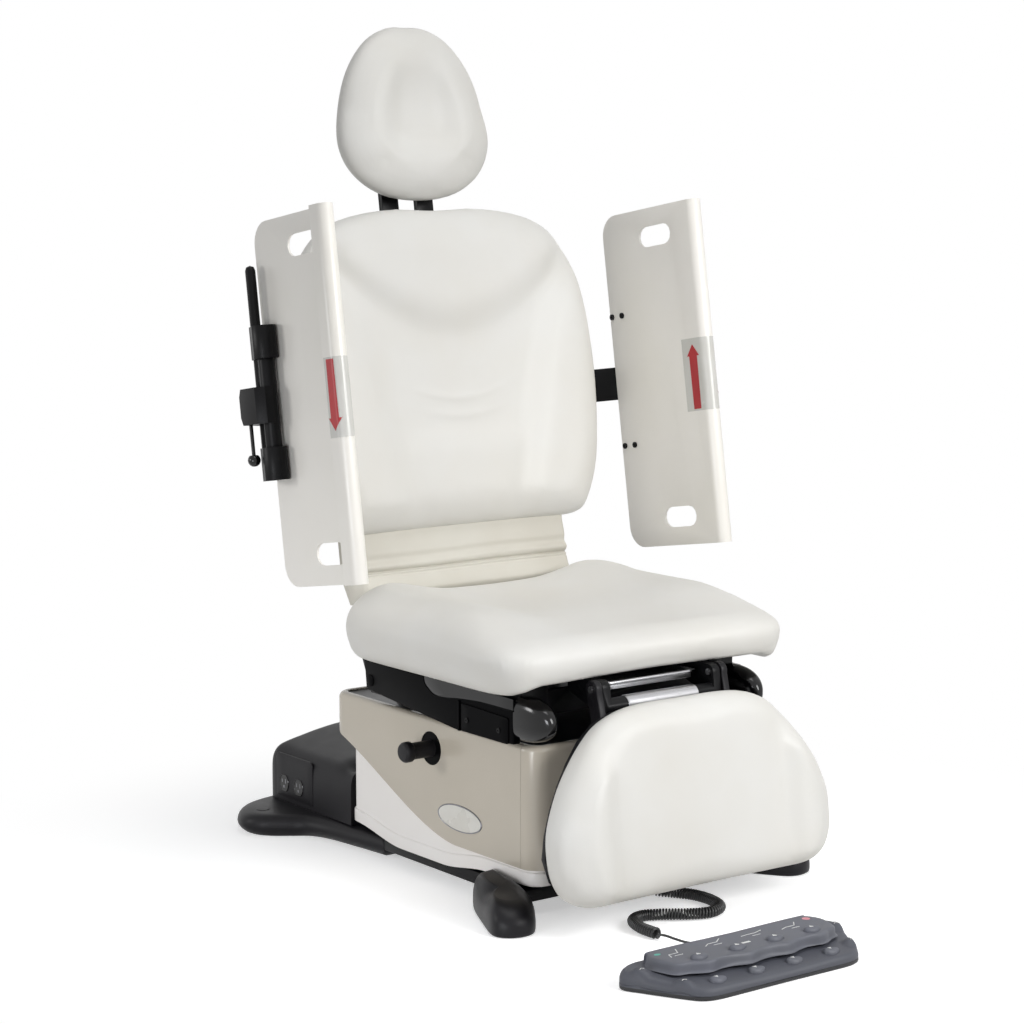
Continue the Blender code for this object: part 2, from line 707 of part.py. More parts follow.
def make_lift():
    outer, inner = cover_pair(0.0, LOWER_WALL, COVER_REAR)
    lower = wall(whole_path(outer), whole_path(inner), lower_edge, LOWER_TOP, True)
    add_part("lower_shroud", lower, "pale_moulded_plastic", "base")

    outer, inner = cover_pair(MIDDLE_STEP, MIDDLE_WALL, COVER_REAR + MIDDLE_STEP)
    middle = wall(whole_path(outer), whole_path(inner), lambda y: swept_edge(y) + 0.006, WEB_LOW + WEB_THICK, True)
    middle = add_part("middle_shroud", middle, "pale_moulded_plastic", "middle_stage")
    half = COLUMN_SIDE / 2.0
    web_hole = half - COLUMN_WALL - SLIDE
    grown = [(x * 1.002, y * 1.002) for x, y in whole_path(inner)]
    combine(middle, prism(grown, "Z", WEB_LOW, WEB_LOW + WEB_THICK * 0.9), "UNION", "middle_stage")
    hole = box((-web_hole, COLUMN_Y - web_hole, WEB_LOW - WEB_THICK),
               (web_hole, COLUMN_Y + web_hole, WEB_LOW + 2.0 * WEB_THICK))
    combine(middle, hole, "DIFFERENCE", "middle_stage")

    outer, inner = cover_pair(UPPER_STEP, UPPER_WALL, UPPER_REAR)
    upper = add_part("upper_shroud", wall(outer[0], inner[0], swept_edge, UPPER_TOP, False),
                     "beige_moulded_plastic", "carriage")
    hole = rod("X", (HANDLE_Y, HANDLE_Z), HANDLE_DISC + RUN, -UPPER_HALF - UPPER_WALL,
               -UPPER_HALF + 2.0 * UPPER_WALL, 28)
    combine(upper, hole, "DIFFERENCE", "carriage")
    ends = []
    for path in (outer[1], inner[1]):
        first = (path[0][0], path[0][1] - SEAM)
        last = (path[-1][0], path[-1][1] - SEAM)
        ends.append([first] + path[1:-1] + [last])
    add_part("upper_front_cover", wall(ends[0], ends[1], swept_edge, UPPER_TOP, False),
             "beige_moulded_plastic", "carriage")

    def square_tube(side, low, high):
        reach = side / 2.0
        bore = reach - COLUMN_WALL
        corners = [(-1.0, -1.0), (1.0, -1.0), (1.0, 1.0), (-1.0, 1.0)]
        rings = []
        for sign_x, sign_y in corners:
            near = Vector((sign_x * bore, COLUMN_Y + sign_y * bore, 0.0))
            far = Vector((sign_x * reach, COLUMN_Y + sign_y * reach, 0.0))
            rings.append([far + Vector((0, 0, low)), far + Vector((0, 0, high)),
                          near + Vector((0, 0, high)), near + Vector((0, 0, low))])
        return loft(rings, loop=True)

    column_low = BASE_TOP + GAP
    middle_side = COLUMN_SIDE - 2.0 * (COLUMN_WALL + RUN)
    inner_side = middle_side - 2.0 * (COLUMN_WALL + RUN)
    add_part("lift_column_outer", square_tube(COLUMN_SIDE, column_low, LOWER_TOP - COLUMN_DROP),
             "black_coated_steel", "base")
    stage = add_part("lift_column_middle", square_tube(middle_side, column_low + COLUMN_DROP, WEB_LOW - GAP),
                     "black_coated_steel", "middle_stage")
    flange_half = half + 0.020
    flange = box((-flange_half, COLUMN_Y - flange_half, FLANGE_LOW),
                 (flange_half, COLUMN_Y + flange_half, WEB_LOW - GAP))
    bore = middle_side / 2.0 - COLUMN_WALL
    combine(stage, flange, "UNION", "middle_stage")
    hollow = box((-bore, COLUMN_Y - bore, column_low), (bore, COLUMN_Y + bore, UPPER_TOP))
    combine(stage, hollow, "DIFFERENCE", "middle_stage")
    add_part("lift_column_inner", square_tube(inner_side, column_low + 2.0 * COLUMN_DROP, PLATE_LOW - GAP),
             "black_coated_steel", "carriage")

    motor_y = COLUMN_Y + half + SLIDE + MOTOR_DEPTH / 2.0
    motor = box((-MOTOR_WIDTH / 2.0, motor_y - MOTOR_DEPTH / 2.0, column_low),
                (MOTOR_WIDTH / 2.0, motor_y + MOTOR_DEPTH / 2.0, column_low + MOTOR_HEIGHT))
    bevel_edges(add_part("lift_motor", motor, "black_coated_steel", "base"), 0.010, 2)


def make_carriage():
    outer, inner = cover_pair(UPPER_STEP, UPPER_WALL, UPPER_REAR)
    seat = cover_path(UPPER_HALF - UPPER_WALL - GAP, COVER_FRONT + UPPER_STEP - UPPER_WALL - GAP,
                      UPPER_REAR - UPPER_WALL - GAP, COVER_CORNER + UPPER_STEP - UPPER_WALL - GAP)
    plate = add_part("carriage_plate", prism(whole_path(seat), "Z", PLATE_LOW, PLATE_TOP),
                     "black_coated_steel", "carriage")
    ears = bmesh.new()
    reach = TILT_PIN + 0.009
    for sign in (-1.0, 1.0):
        outline = arc((TILT_Y, TILT_Z), reach, 0.0, 180.0, 8)
        outline += [(TILT_Y - reach, PLATE_LOW + PLATE_THICK / 2.0), (TILT_Y + reach, PLATE_LOW + PLATE_THICK / 2.0)]
        far = RAIL_IN_X - SLIDE
        prism(outline, "X", sign * (far - TILT_EAR), sign * far, body=ears)
    combine(plate, ears, "UNION", "carriage")
    bore = rod("X", (TILT_Y, TILT_Z), TILT_PIN + RUN, -FRAME_HALF, FRAME_HALF, 20)
    combine(plate, bore, "DIFFERENCE", "carriage")
    pin = FRAME_HALF - GAP
    add_part("tilt_pin", rod("X", (TILT_Y, TILT_Z), TILT_PIN, -pin, pin), "bright_steel", "carriage")

    disc = UPPER_HALF - RUN
    cap_start = UPPER_HALF + HANDLE_LENGTH - HANDLE_CAP_LENGTH
    end = UPPER_HALF + HANDLE_LENGTH
    profile = [(0.0, -disc + HANDLE_DISC_THICK), (HANDLE_DISC, -disc + HANDLE_DISC_THICK),
               (HANDLE_DISC, -disc), (HANDLE_SHAFT, -disc), (HANDLE_SHAFT, -cap_start),
               (HANDLE_CAP, -cap_start - 0.003), (HANDLE_CAP, -end + 0.005), (HANDLE_CAP - 0.004, -end),
               (0.0, -end)]
    add_part("side_handle", turned("X", (HANDLE_Y, HANDLE_Z), profile, 18), "black_textured_plastic",
             "handle_turn")


def make_seat_frame():
    deck = box((-RAIL_IN_X - 0.010, -FRAME_FRONT - 0.020, FRAME_DECK),
               (RAIL_IN_X + 0.010, SEAT_REAR - 0.007, FRAME_TOP))
    frame = add_part("seat_frame", deck, "black_coated_steel", "seat_tilt")
    welded = bmesh.new()
    weld = 0.001
    tube = CHAIR.inverted() @ FOOT @ Vector((0.0, BOARD_FRONT + BOARD_THICK + SLIDE + CROSS_TUBE, -CROSS_DROP))
    for sign in (-1.0, 1.0):
        knuckle = arc((BACK_HINGE_Y, BACK_HINGE_Z), KNUCKLE, -50.0, 130.0, 10)
        side_rail = [(-FRAME_FRONT, FRAME_LOW + 0.012), (-FRAME_FRONT + 0.060, FRAME_LOW),
                     (TILT_Y - 0.020, TILT_Z - 0.018), (TILT_Y + 0.016, TILT_Z - 0.018)]
        side_rail += knuckle
        side_rail += [(SEAT_REAR + 0.002, SEAT_UNDER + 0.010), (SEAT_REAR + 0.001, FRAME_TOP - weld),
                      (-FRAME_FRONT, FRAME_TOP - weld)]
        prism(side_rail, "X", sign * RAIL_IN_X, sign * FRAME_HALF, body=welded)
        nose = arc((FOOT_HINGE_Y, FOOT_HINGE_Z), FOOT_PIN + 0.0075, 90.0, 180.0, 5)
        chin = arc((tube.y, tube.z), CROSS_TUBE - weld / 2.0, 180.0, 320.0, 7)
        ear = nose + chin + [(-FRAME_FRONT + 0.010, FOOT_HINGE_Z - FOOT_PIN - 0.0075),
                             (-FRAME_FRONT + 0.010, FRAME_TOP - weld), (-FRAME_FRONT - 0.018, FRAME_TOP - weld)]
        prism(ear, "X", sign * FOOT_EAR_X, sign * (FOOT_EAR_X + FOOT_EAR_WIDTH), body=welded)
        rim_low = FRAME_DECK - PAN_HEADROOM - PAN_WALL - GAP
        shelf_in = PAN_HALF + SLIDE
        web_in = PAN_HALF + PAN_RIM + SLIDE
        runner = [(shelf_in, rim_low - RUNNER_THICK), (shelf_in + RUNNER_WIDTH, rim_low - RUNNER_THICK),
                  (shelf_in + RUNNER_WIDTH, FRAME_DECK + weld), (web_in, FRAME_DECK + weld),
                  (web_in, rim_low), (shelf_in, rim_low)]
        prism([(sign * x, z) for x, z in runner], "Y", -FRAME_FRONT - 0.016, PAN_LENGTH - PAN_FRONT + 0.010,
              body=welded)
    combine(frame, welded, "UNION", "seat_tilt")
    cross_rear = PAN_LENGTH - PAN_FRONT + CROSS_BEHIND
    cross = box((-RAIL_IN_X - weld, cross_rear, CROSS_LOW),
                (RAIL_IN_X + weld, cross_rear + CROSS_THICK, FRAME_DECK + weld))
    pan_low = FRAME_DECK - PAN_HEADROOM - PAN_DEPTH
    box((-RAIL_IN_X - weld, -FRAME_FRONT + CROSS_THICK, CROSS_LOW),
        (RAIL_IN_X + weld, -FRAME_FRONT + 2.0 * CROSS_THICK, pan_low - SLIDE), body=cross)
    ear_mid = FOOT_EAR_X + FOOT_EAR_WIDTH / 2.0
    rod("X", (tube.y, tube.z), CROSS_TUBE, -ear_mid, ear_mid, 18, body=cross)
    combine(frame, cross, "UNION", "seat_tilt")
    bores = bmesh.new()
    rod("X", (TILT_Y, TILT_Z), TILT_PIN + RUN, -2.0 * FRAME_HALF, 2.0 * FRAME_HALF, 20, body=bores)
    rod("X", (BACK_HINGE_Y, BACK_HINGE_Z), BACK_PIN + RUN, -2.0 * FRAME_HALF, 2.0 * FRAME_HALF, 20, body=bores)
    rod("X", (FOOT_HINGE_Y, FOOT_HINGE_Z), FOOT_PIN + RUN, -2.0 * FRAME_HALF, 2.0 * FRAME_HALF, 16, body=bores)
    combine(frame, bores, "DIFFERENCE", "seat_tilt")
    pin = FRAME_HALF - GAP
    add_part("back_hinge_pin", rod("X", (BACK_HINGE_Y, BACK_HINGE_Z), BACK_PIN, -pin, pin), "bright_steel",
             "seat_tilt")
    for side, sign in SIDES:
        pin_body = rod("X", (FOOT_HINGE_Y, FOOT_HINGE_Z), FOOT_PIN, sign * (FOOT_EAR_X - 0.002),
                       sign * (LINK_X + LINK_WIDTH + 0.003), 16)
        add_part("foot_hinge_pin_" + side, pin_body, "bright_steel", "seat_tilt")


def make_seat_covers():
    for side, sign in SIDES:
        near = sign * SIDE_COVER_IN
        far = sign * (SIDE_COVER_IN + SIDE_COVER_THICK)
        outline = [(-FRAME_FRONT, SIDE_COVER_LOW), (-FRAME_FRONT, SIDE_COVER_TOP - 0.014),
                   (-0.090, SIDE_COVER_TOP), (SIDE_COVER_REAR, SIDE_COVER_TOP),
                   (SIDE_COVER_REAR - 0.007, SIDE_COVER_LOW + 0.024), (-0.180, SIDE_COVER_LOW - 0.003)]
        cover = add_part("side_cover_" + side, prism(outline, "X", near, far), "black_textured_plastic",
                         "seat_tilt")
        bevel_edges(cover, 0.004, 2)

        tip = -FRAME_FRONT - GAP
        half_width = NOSE_WIDTH / 2.0
        centre_x = sign * (SIDE_COVER_IN + SIDE_COVER_THICK - half_width)
        rings = []
        for share, swell in ((0.0, 1.0), (0.35, 0.97), (0.65, 0.86), (0.87, 0.62), (0.97, 0.34), (1.0, 0.12)):
            ring = []
            for step in range(18):
                angle = 2.0 * math.pi * step / 18.0
                wide = half_width * (0.25 + 0.75 * swell)
                tall = NOSE_HEIGHT * swell
                across = math.copysign(abs(math.cos(angle)) ** 0.6, math.cos(angle))
                upward = math.copysign(abs(math.sin(angle)) ** 0.6, math.sin(angle))
                ring.append(Vector((centre_x + wide * across, tip - NOSE_LENGTH * share,
                                    NOSE_LOW + tall * (0.5 + 0.5 * upward))))
            rings.append(ring)
        add_part("nose_" + side, loft(rings), "black_gloss_plastic", "seat_tilt", smooth_angle=60.0)


def make_pan():
    rim_top = FRAME_DECK - PAN_HEADROOM
    rim_low = rim_top - PAN_WALL
    low = rim_top - PAN_DEPTH
    rear = PAN_LENGTH - PAN_FRONT
    section = [(-PAN_HALF - PAN_RIM, rim_low), (-PAN_HALF, rim_low), (-PAN_HALF, low), (PAN_HALF, low),
               (PAN_HALF, rim_low), (PAN_HALF + PAN_RIM, rim_low), (PAN_HALF + PAN_RIM, rim_top),
               (-PAN_HALF - PAN_RIM, rim_top)]
    pan = add_part("treatment_pan", prism(section, "Y", -PAN_FRONT, rear), "bright_steel", "pan_slide")
    inside = box((-PAN_HALF + PAN_WALL, -PAN_FRONT + PAN_WALL, low + PAN_WALL),
                 (PAN_HALF - PAN_WALL, rear - PAN_WALL, rim_top + PAN_DEPTH))
    combine(pan, inside, "DIFFERENCE", "pan_slide")


def seat_cushion_body():
    half = [(0.0, SEAT_REAR), (SEAT_HALF * 0.72, SEAT_REAR), (SEAT_HALF - 0.040, SEAT_REAR - 0.012),
            (SEAT_HALF - 0.008, SEAT_REAR - 0.055), (SEAT_HALF, SEAT_REAR - 0.150),
            (SEAT_HALF, -SEAT_FRONT + 0.190), (SEAT_HALF - 0.005, -SEAT_FRONT + 0.075),
            (SEAT_HALF - 0.030, -SEAT_FRONT + 0.020), (SEAT_HALF - 0.085, -SEAT_FRONT),
            (SEAT_HALF * 0.36, -SEAT_FRONT + 0.005), (0.0, -SEAT_FRONT + 0.010)]
    outline = mirrored_outline(half, 44)

    def dished(flat):
        side = SEAT_BOLSTER * smooth_step(0.10, 0.25, abs(flat.x)) * smooth_step(-SEAT_FRONT, -0.20, flat.y)
        front = -0.016 * smooth_step(0.20, SEAT_FRONT, -flat.y)
        rear = 0.010 * smooth_step(-0.08, SEAT_REAR, flat.y)
        return side + front + rear - SEAT_DIP * bump(flat.x, 0.0, 0.16) * bump(flat.y, -0.16, 0.20)

    def lip(flat):
        away = smooth_step(HOLLOW_HALF - SEAT_LIP_RUN, HOLLOW_HALF + SEAT_LIP_RUN, abs(flat.x))
        return -SEAT_LIP * away

    over = round_over(0.075, SEAT_CROWN, 4)
    below = [(0.006, SEAT_SIDE * 0.55), (0.022, SEAT_SIDE)]
    body = moulded(outline, (0.0, (SEAT_REAR - SEAT_FRONT) / 2.0), over, below, (0.25, 0.5, 0.75), (),
                   SEAT_MID, dished, lip)
    return body


def make_seat_cushion():
    cushion = add_part("seat_cushion", seat_cushion_body(), "warm_white_vinyl", "seat_tilt", smooth_angle=75.0)
    hollow = box((-HOLLOW_HALF, -SEAT_FRONT - SEAT_SIDE, 0.0), (HOLLOW_HALF, SEAT_REAR + SEAT_SIDE, SEAT_UNDER))
    combine(cushion, hollow, "DIFFERENCE", "seat_tilt")


# Back pieces are drawn flat, then stood up: drawn X stays, drawn Y is up the back, drawn Z is to the front.
FACING = Matrix(((1, 0, 0, 0), (0, 0, -1, 0), (0, 1, 0, 0), (0, 0, 0, 1)))


def make_back():
    height = BACK_TOP - BACK_LOW
    half = [(0.0, BACK_TOP - 0.003), (0.090, BACK_TOP), (0.170, BACK_TOP - 0.008),
            (0.236, BACK_TOP - 0.026), (0.284, BACK_TOP - 0.060), (0.322, BACK_TOP - 0.118),
            (BACK_HALF - 0.009, BACK_TOP - 0.205), (BACK_HALF, BACK_TOP - 0.320),
            (BACK_HALF - 0.004, BACK_TOP - 0.430), (BACK_HALF - 0.018, BACK_LOW + 0.098),
            (BACK_HALF - 0.046, BACK_LOW + 0.032), (0.272, BACK_LOW + 0.002), (0.150, BACK_LOW),
            (0.0, BACK_LOW)]
    outline = mirrored_outline(half, 48)
    middle_up = BACK_LOW + height * 0.5

    def contoured(flat):
        side = BACK_BOLSTER * smooth_step(0.15, 0.27, abs(flat.x)) * smooth_step(BACK_TOP - 0.20, 0.35, flat.y)
        shoulder_line = BACK_TOP - 0.210 + 0.9 * flat.x ** 2
        shoulder = 0.010 * smooth_step(shoulder_line - 0.05, shoulder_line + 0.03, flat.y)
        lumbar = 0.006 * bump(flat.y, BACK_LOW + 0.12, 0.10) * bump(flat.x, 0.0, 0.16)
        return side + shoulder + lumbar - 0.006

    over = round_over(0.060, BACK_FRONT_DEPTH, 4)
    below = [(0.010, BACK_REAR_DEPTH * 0.60), (0.034, BACK_REAR_DEPTH)]
    cushion = moulded(outline, (0.0, middle_up), over, below, (0.16, 0.34, 0.55, 0.78), (), 0.0, contoured)
    add_part("back_cushion", cushion, "warm_white_vinyl", "back_recline", BACK @ FACING, 75.0)

    # The apron is a folded panel between the cushion and the seat.
    rear = APRON_FRONT - 0.040
    profile = [(-SPINE_FRONT + GAP, BACK_LOW - GAP - 0.004), (-SPINE_FRONT + GAP, APRON_LOW + 0.050),
               (rear, APRON_LOW)]
    for step in range(13):
        up = APRON_LOW + (BACK_LOW - GAP - 0.012 - APRON_LOW) * step / 12.0
        fold = APRON_FOLD * (bump(up, APRON_LOW + 0.070, 0.016) + bump(up, APRON_LOW + 0.034, 0.008))
        profile.append((APRON_FRONT - 0.008 * smooth_step(0.05, BACK_LOW, up) + fold, up))
    profile.append((APRON_FRONT - 0.016, BACK_LOW - GAP - 0.004))
    apron = prism([(-ahead, up) for ahead, up in profile], "X", -APRON_HALF, APRON_HALF)
    add_part("lumbar_apron", apron, "warm_white_vinyl", "back_recline", BACK, 60.0)

    spine = box((-SPINE_HALF, SPINE_FRONT, SPINE_LOW), (SPINE_HALF, SPINE_REAR, SPINE_TOP))
    spine = add_part("back_frame", spine, "black_coated_steel", "back_recline", BACK)
    hinge = BACK.inverted() @ CHAIR @ Vector((0.0, BACK_HINGE_Y, BACK_HINGE_Z))
    arms = bmesh.new()
    for sign in (-1.0, 1.0):
        outline = arc((hinge.y, hinge.z), KNUCKLE - 0.001, -200.0, 20.0, 10)
        outline += [(SPINE_REAR - 0.003, SPINE_LOW + 0.030), (SPINE_REAR - 0.003, SPINE_LOW + 0.090),
                    (SPINE_FRONT + 0.003, SPINE_LOW + 0.090), (SPINE_FRONT + 0.003, SPINE_LOW - 0.006)]
        far = RAIL_IN_X - SLIDE
        prism(outline, "X", sign * (far - KNUCKLE_WIDTH), sign * far, body=arms)
    combine(spine, arms, "UNION", "back_recline", BACK)
    bore = rod("X", (hinge.y, hinge.z), BACK_PIN + RUN, -FRAME_HALF, FRAME_HALF, 20)
    combine(spine, bore, "DIFFERENCE", "back_recline", BACK)


def make_headrest():
    top = HEAD_LOW + HEAD_HEIGHT
    half = [(0.0, HEAD_LOW), (HEAD_HALF * 0.48, HEAD_LOW + 0.012), (HEAD_HALF * 0.84, HEAD_LOW + 0.052),
            (HEAD_HALF, HEAD_LOW + 0.110), (HEAD_HALF * 0.95, HEAD_LOW + 0.185),
            (HEAD_HALF * 0.80, HEAD_LOW + 0.255), (HEAD_HALF * 0.55, top - 0.030),
            (HEAD_HALF * 0.26, top - 0.004), (0.0, top)]
    outline = mirrored_outline(half, 36)
    middle_up = HEAD_LOW + HEAD_HEIGHT * 0.46

    def cradle(flat):
        return -HEAD_DISH * bump(flat.x, 0.0, 0.050) * bump(flat.y, HEAD_LOW + 0.200, 0.100)

    over = round_over(0.060, HEAD_DEPTH, 4)
    below = [(0.010, HEAD_DEPTH * 0.60), (0.040, HEAD_DEPTH)]
    cushion = moulded(outline, (0.0, middle_up), over, below, (0.25, 0.5, 0.75), (), -HEAD_SETBACK, cradle)
    add_part("headrest_cushion", cushion, "warm_white_vinyl", "headrest_tilt", BACK @ FACING, 75.0)

    front = HEAD_REAR + GAP
    plate = box((-HEAD_PLATE_HALF, front, HEAD_AXIS_UP + 0.010), (HEAD_PLATE_HALF, HEAD_PLATE_REAR, top - 0.120))
    plate = add_part("headrest_plate", plate, "black_coated_steel", "headrest_tilt", BACK)
    hinge = bmesh.new()
    inside = POST_INNER - RUN
    knuckle = POST_THICK / 2.0 - GAP
    leaf = arc((HEAD_AXIS_BACK, HEAD_AXIS_UP), knuckle, 180.0, 360.0, 8)
    leaf += [(HEAD_PLATE_REAR - 0.001, HEAD_AXIS_UP + 0.040), (front + 0.001, HEAD_AXIS_UP + 0.040)]
    prism(leaf, "X", -inside, inside, body=hinge)
    combine(plate, hinge, "UNION", "headrest_tilt", BACK)
    pin = rod("X", (HEAD_AXIS_BACK, HEAD_AXIS_UP), HEAD_PIN - RUN, -POST_HALF, POST_HALF, 14)
    combine(plate, pin, "UNION", "headrest_tilt", BACK)

    bars = bmesh.new()
    for sign in (-1.0, 1.0):
        knuckle_end = arc((HEAD_AXIS_BACK, HEAD_AXIS_UP), POST_THICK / 2.0, 0.0, 180.0, 8)
        outline = knuckle_end + [(POST_FRONT, POST_LOW), (POST_REAR, POST_LOW)]
        prism(outline, "X", sign * POST_INNER, sign * POST_HALF, body=bars)
    post = add_part("headrest_post", bars, "black_coated_steel", "headrest_slide", BACK)
    cross = box((-POST_HALF + 0.002, POST_FRONT + 0.001, POST_LOW + 0.002),
                (POST_HALF - 0.002, POST_REAR - 0.001, POST_LOW + POST_CROSS))
    combine(post, cross, "UNION", "headrest_slide", BACK)
    bore = rod("X", (HEAD_AXIS_BACK, HEAD_AXIS_UP), HEAD_PIN, -2.0 * POST_HALF, 2.0 * POST_HALF, 14)
    combine(post, bore, "DIFFERENCE", "headrest_slide", BACK)

    slot = POST_HALF + RUN
    outer = slot + GUIDE_WALL
    slot_back = POST_REAR + RUN
    channel = [(-outer, POST_FRONT), (-slot, POST_FRONT), (-slot, slot_back), (slot, slot_back),
               (slot, POST_FRONT), (outer, POST_FRONT), (outer, slot_back + GUIDE_BACK),
               (-outer, slot_back + GUIDE_BACK)]
    guide = prism(channel, "Z", GUIDE_LOW, GUIDE_LOW + GUIDE_HEIGHT)
    add_part("headrest_guide", guide, "black_coated_steel", "back_recline", BACK)


def make_rails():
    for side, sign in SIDES:
        make_rail_bracket(side, sign)
        make_rail_panel(side, sign)
        make_rail_hinge(side, sign)


def make_rail_bracket(side, sign):
    # Seen along the back: a flat arm from the spine that bends forward to a block outside the tube.
    arm_rear = ARM_FRONT + ARM_THICK
    block_out = TUBE_X + BLOCK_WIDTH
    saddle = TUBE_RADIUS + GAP
    block_front = TUBE_FORE + TUBE_OUT - SLIDE
    edge = math.sqrt(saddle ** 2 - SADDLE_LIP ** 2)
    start = math.degrees(math.atan2(edge, SADDLE_LIP))
    cradle = arc((TUBE_X, TUBE_FORE), saddle, start, -start, 10)
    bend_out = Vector((ARM_BEND_X, -arm_rear))
    tip_out = Vector((block_out, -BLOCK_BACK))
    along = (tip_out - bend_out).normalized()
    inward = Vector((-along.y, along.x))
    inner_line = bend_out + inward * ARM_THICK

    def on_inner(x):
        return inner_line.y + along.y / along.x * (x - inner_line.x)

    bend_in = inner_line.x + (-ARM_FRONT - inner_line.y) * along.x / along.y
    rings = []
    for up, cut in ((0.0, BLOCK_CUT), (BLOCK_CHAMFER, 0.0), (ARM_HEIGHT - BLOCK_CHAMFER, 0.0), (ARM_HEIGHT, BLOCK_CUT)):
        bend_point = bend_out + inward * cut
        tip_point = tip_out + inward * cut + Vector((inward.x * -cut, 0.0))
        plan = [(SPINE_HALF + GAP, -ARM_FRONT), (SPINE_HALF + GAP, -arm_rear), tuple(bend_point), tuple(tip_point),
                (block_out, block_front - BLOCK_CHAMFER), (block_out - BLOCK_CHAMFER, block_front),
                (TUBE_X + SADDLE_LIP, block_front)]
        plan += cradle
        plan += [(BLOCK_IN_X, TUBE_FORE - edge), (BLOCK_IN_X, on_inner(BLOCK_IN_X)), (bend_in, -ARM_FRONT)]
        rings.append([Vector((sign * x, -fore, ARM_LOW + up)) for x, fore in plan])
    bracket = add_part("rail_bracket_" + side, loft(rings), "black_coated_steel", "back_recline", BACK)
    stem_hole = rod("Z", (sign * KNOB_X, -KNOB_FORE), KNOB_STEM + RUN, ARM_LOW - KNOB_DEPTH,
                    ARM_LOW + KNOB_DEPTH, 12)
    combine(bracket, stem_hole, "DIFFERENCE", "back_recline", BACK)

    tube_low = RAIL_LOW + COLLAR_LOW + 0.004
    tube_high = RAIL_LOW + COLLAR_HIGH + COLLAR_HEIGHT - 0.004
    tube = rod("Z", (sign * TUBE_X, -TUBE_FORE), TUBE_RADIUS, tube_low, tube_high, 20)
    add_part("rail_pivot_tube_" + side, tube, "black_coated_steel", "back_recline", BACK)

    ball = ARM_LOW - KNOB_DROP
    profile = [(0.0, ARM_LOW + KNOB_DEPTH - RUN), (KNOB_STEM, ARM_LOW + KNOB_DEPTH - RUN)]
    for step in range(1, 7):
        angle = math.pi * (0.10 + 0.90 * step / 7.0)
        if step == 1:
            profile.append((KNOB_STEM, ball + KNOB_RADIUS * math.cos(angle)))
        profile.append((KNOB_RADIUS * math.sin(angle), ball + KNOB_RADIUS * math.cos(angle) - 0.0004))
    profile.append((0.0, ball - KNOB_RADIUS))
    knob = turned("Z", (sign * KNOB_X, -KNOB_FORE), profile, 14)
    add_part("release_knob_" + side, knob, "black_gloss_plastic", "release_" + side, BACK, 60.0)


def make_rail_panel(side, sign):
    # A flat sheet whose front edge curls outwards and back.
    front = RAIL_REAR + RAIL_DEPTH
    hook = LIP_RADIUS - RAIL_THICK
    centre = (RAIL_INNER + LIP_RADIUS, front)
    outside = arc(centre, LIP_RADIUS, 180.0, 0.0, 10)
    inside = arc(centre, hook, 0.0, 180.0, 10)
    section = [(RAIL_INNER, RAIL_REAR)] + outside
    section += [(RAIL_INNER + 2.0 * LIP_RADIUS, front - LIP_RETURN),
                (RAIL_INNER + 2.0 * LIP_RADIUS - RAIL_THICK, front - LIP_RETURN)]
    section += inside + [(RAIL_OUTER, RAIL_REAR)]
    outline = [(sign * x, -fore) for x, fore in section]
    sheet = add_part("rail_panel_" + side, prism(outline, "Z", RAIL_LOW, RAIL_LOW + RAIL_LENGTH),
                     "off_white_powder_coat", "rail_swing_" + side, BACK)
    cuts = bmesh.new()
    ends = (sign * (RAIL_INNER - RAIL_THICK), sign * (RAIL_OUTER + RAIL_THICK))
    for low_end in (True, False):
        edge = RAIL_LOW if low_end else RAIL_LOW + RAIL_LENGTH
        inward = 1.0 if low_end else -1.0
        slot_up = edge + inward * SLOT_INSET
        slot = obround((-RAIL_REAR - SLOT_AHEAD, slot_up), SLOT_LENGTH, SLOT_HEIGHT)
        prism(slot, "X", ends[0], ends[1], body=cuts)
        round_centre = (-RAIL_REAR - RAIL_CORNER, edge + inward * RAIL_CORNER)
        turn = arc(round_centre, RAIL_CORNER, 0.0, -90.0 * inward, 7)
        past = 0.010
        corner = turn + [(round_centre[0], edge - inward * past), (-RAIL_REAR + past, edge - inward * past),
                         (-RAIL_REAR + past, round_centre[1])]
        prism(corner, "X", ends[0], ends[1], body=cuts)
    combine(sheet, cuts, "DIFFERENCE", "rail_swing_" + side, BACK)


def make_rail_hinge(side, sign):
    # Two collars on the tube, joined by the rod behind it.
    low = RAIL_LOW + COLLAR_LOW
    high = RAIL_LOW + COLLAR_HIGH
    tip = high + COLLAR_HEIGHT + ROD_RISE
    profile = [(0.0, low + 0.003), (ROD_RADIUS, low + 0.003), (ROD_RADIUS, tip - ROD_RADIUS),
               (ROD_RADIUS * 0.75, tip - ROD_RADIUS * 0.3), (0.0, tip)]
    spindle = turned("Z", (sign * TUBE_X, -ROD_FORE), profile, 14)
    hinge = add_part("rail_hinge_" + side, spindle, "black_coated_steel", "rail_swing_" + side, BACK)
    collars = bmesh.new()
    flat = RAIL_OUTER + GAP
    for bottom in (low, high):
        round_front = arc((TUBE_X, TUBE_FORE), COLLAR_RADIUS, 0.0, 126.0, 8)
        round_rear = arc((TUBE_X, ROD_FORE), ROD_RADIUS + 0.003, -130.0, 0.0, 6)
        plan = [point for point in round_front if point[0] > flat]
        plan += [(flat, TUBE_FORE + 0.012), (flat, ROD_FORE - 0.008)]
        plan += [point for point in round_rear if point[0] > flat]
        prism([(sign * x, -fore) for x, fore in plan], "Z", bottom, bottom + COLLAR_HEIGHT, body=collars)
    combine(hinge, collars, "UNION", "rail_swing_" + side, BACK)
    bore = rod("Z", (sign * TUBE_X, -TUBE_FORE), TUBE_RADIUS + GAP, low - 0.010,
               high + COLLAR_HEIGHT + 0.010, 20)
    combine(hinge, bore, "DIFFERENCE", "rail_swing_" + side, BACK)


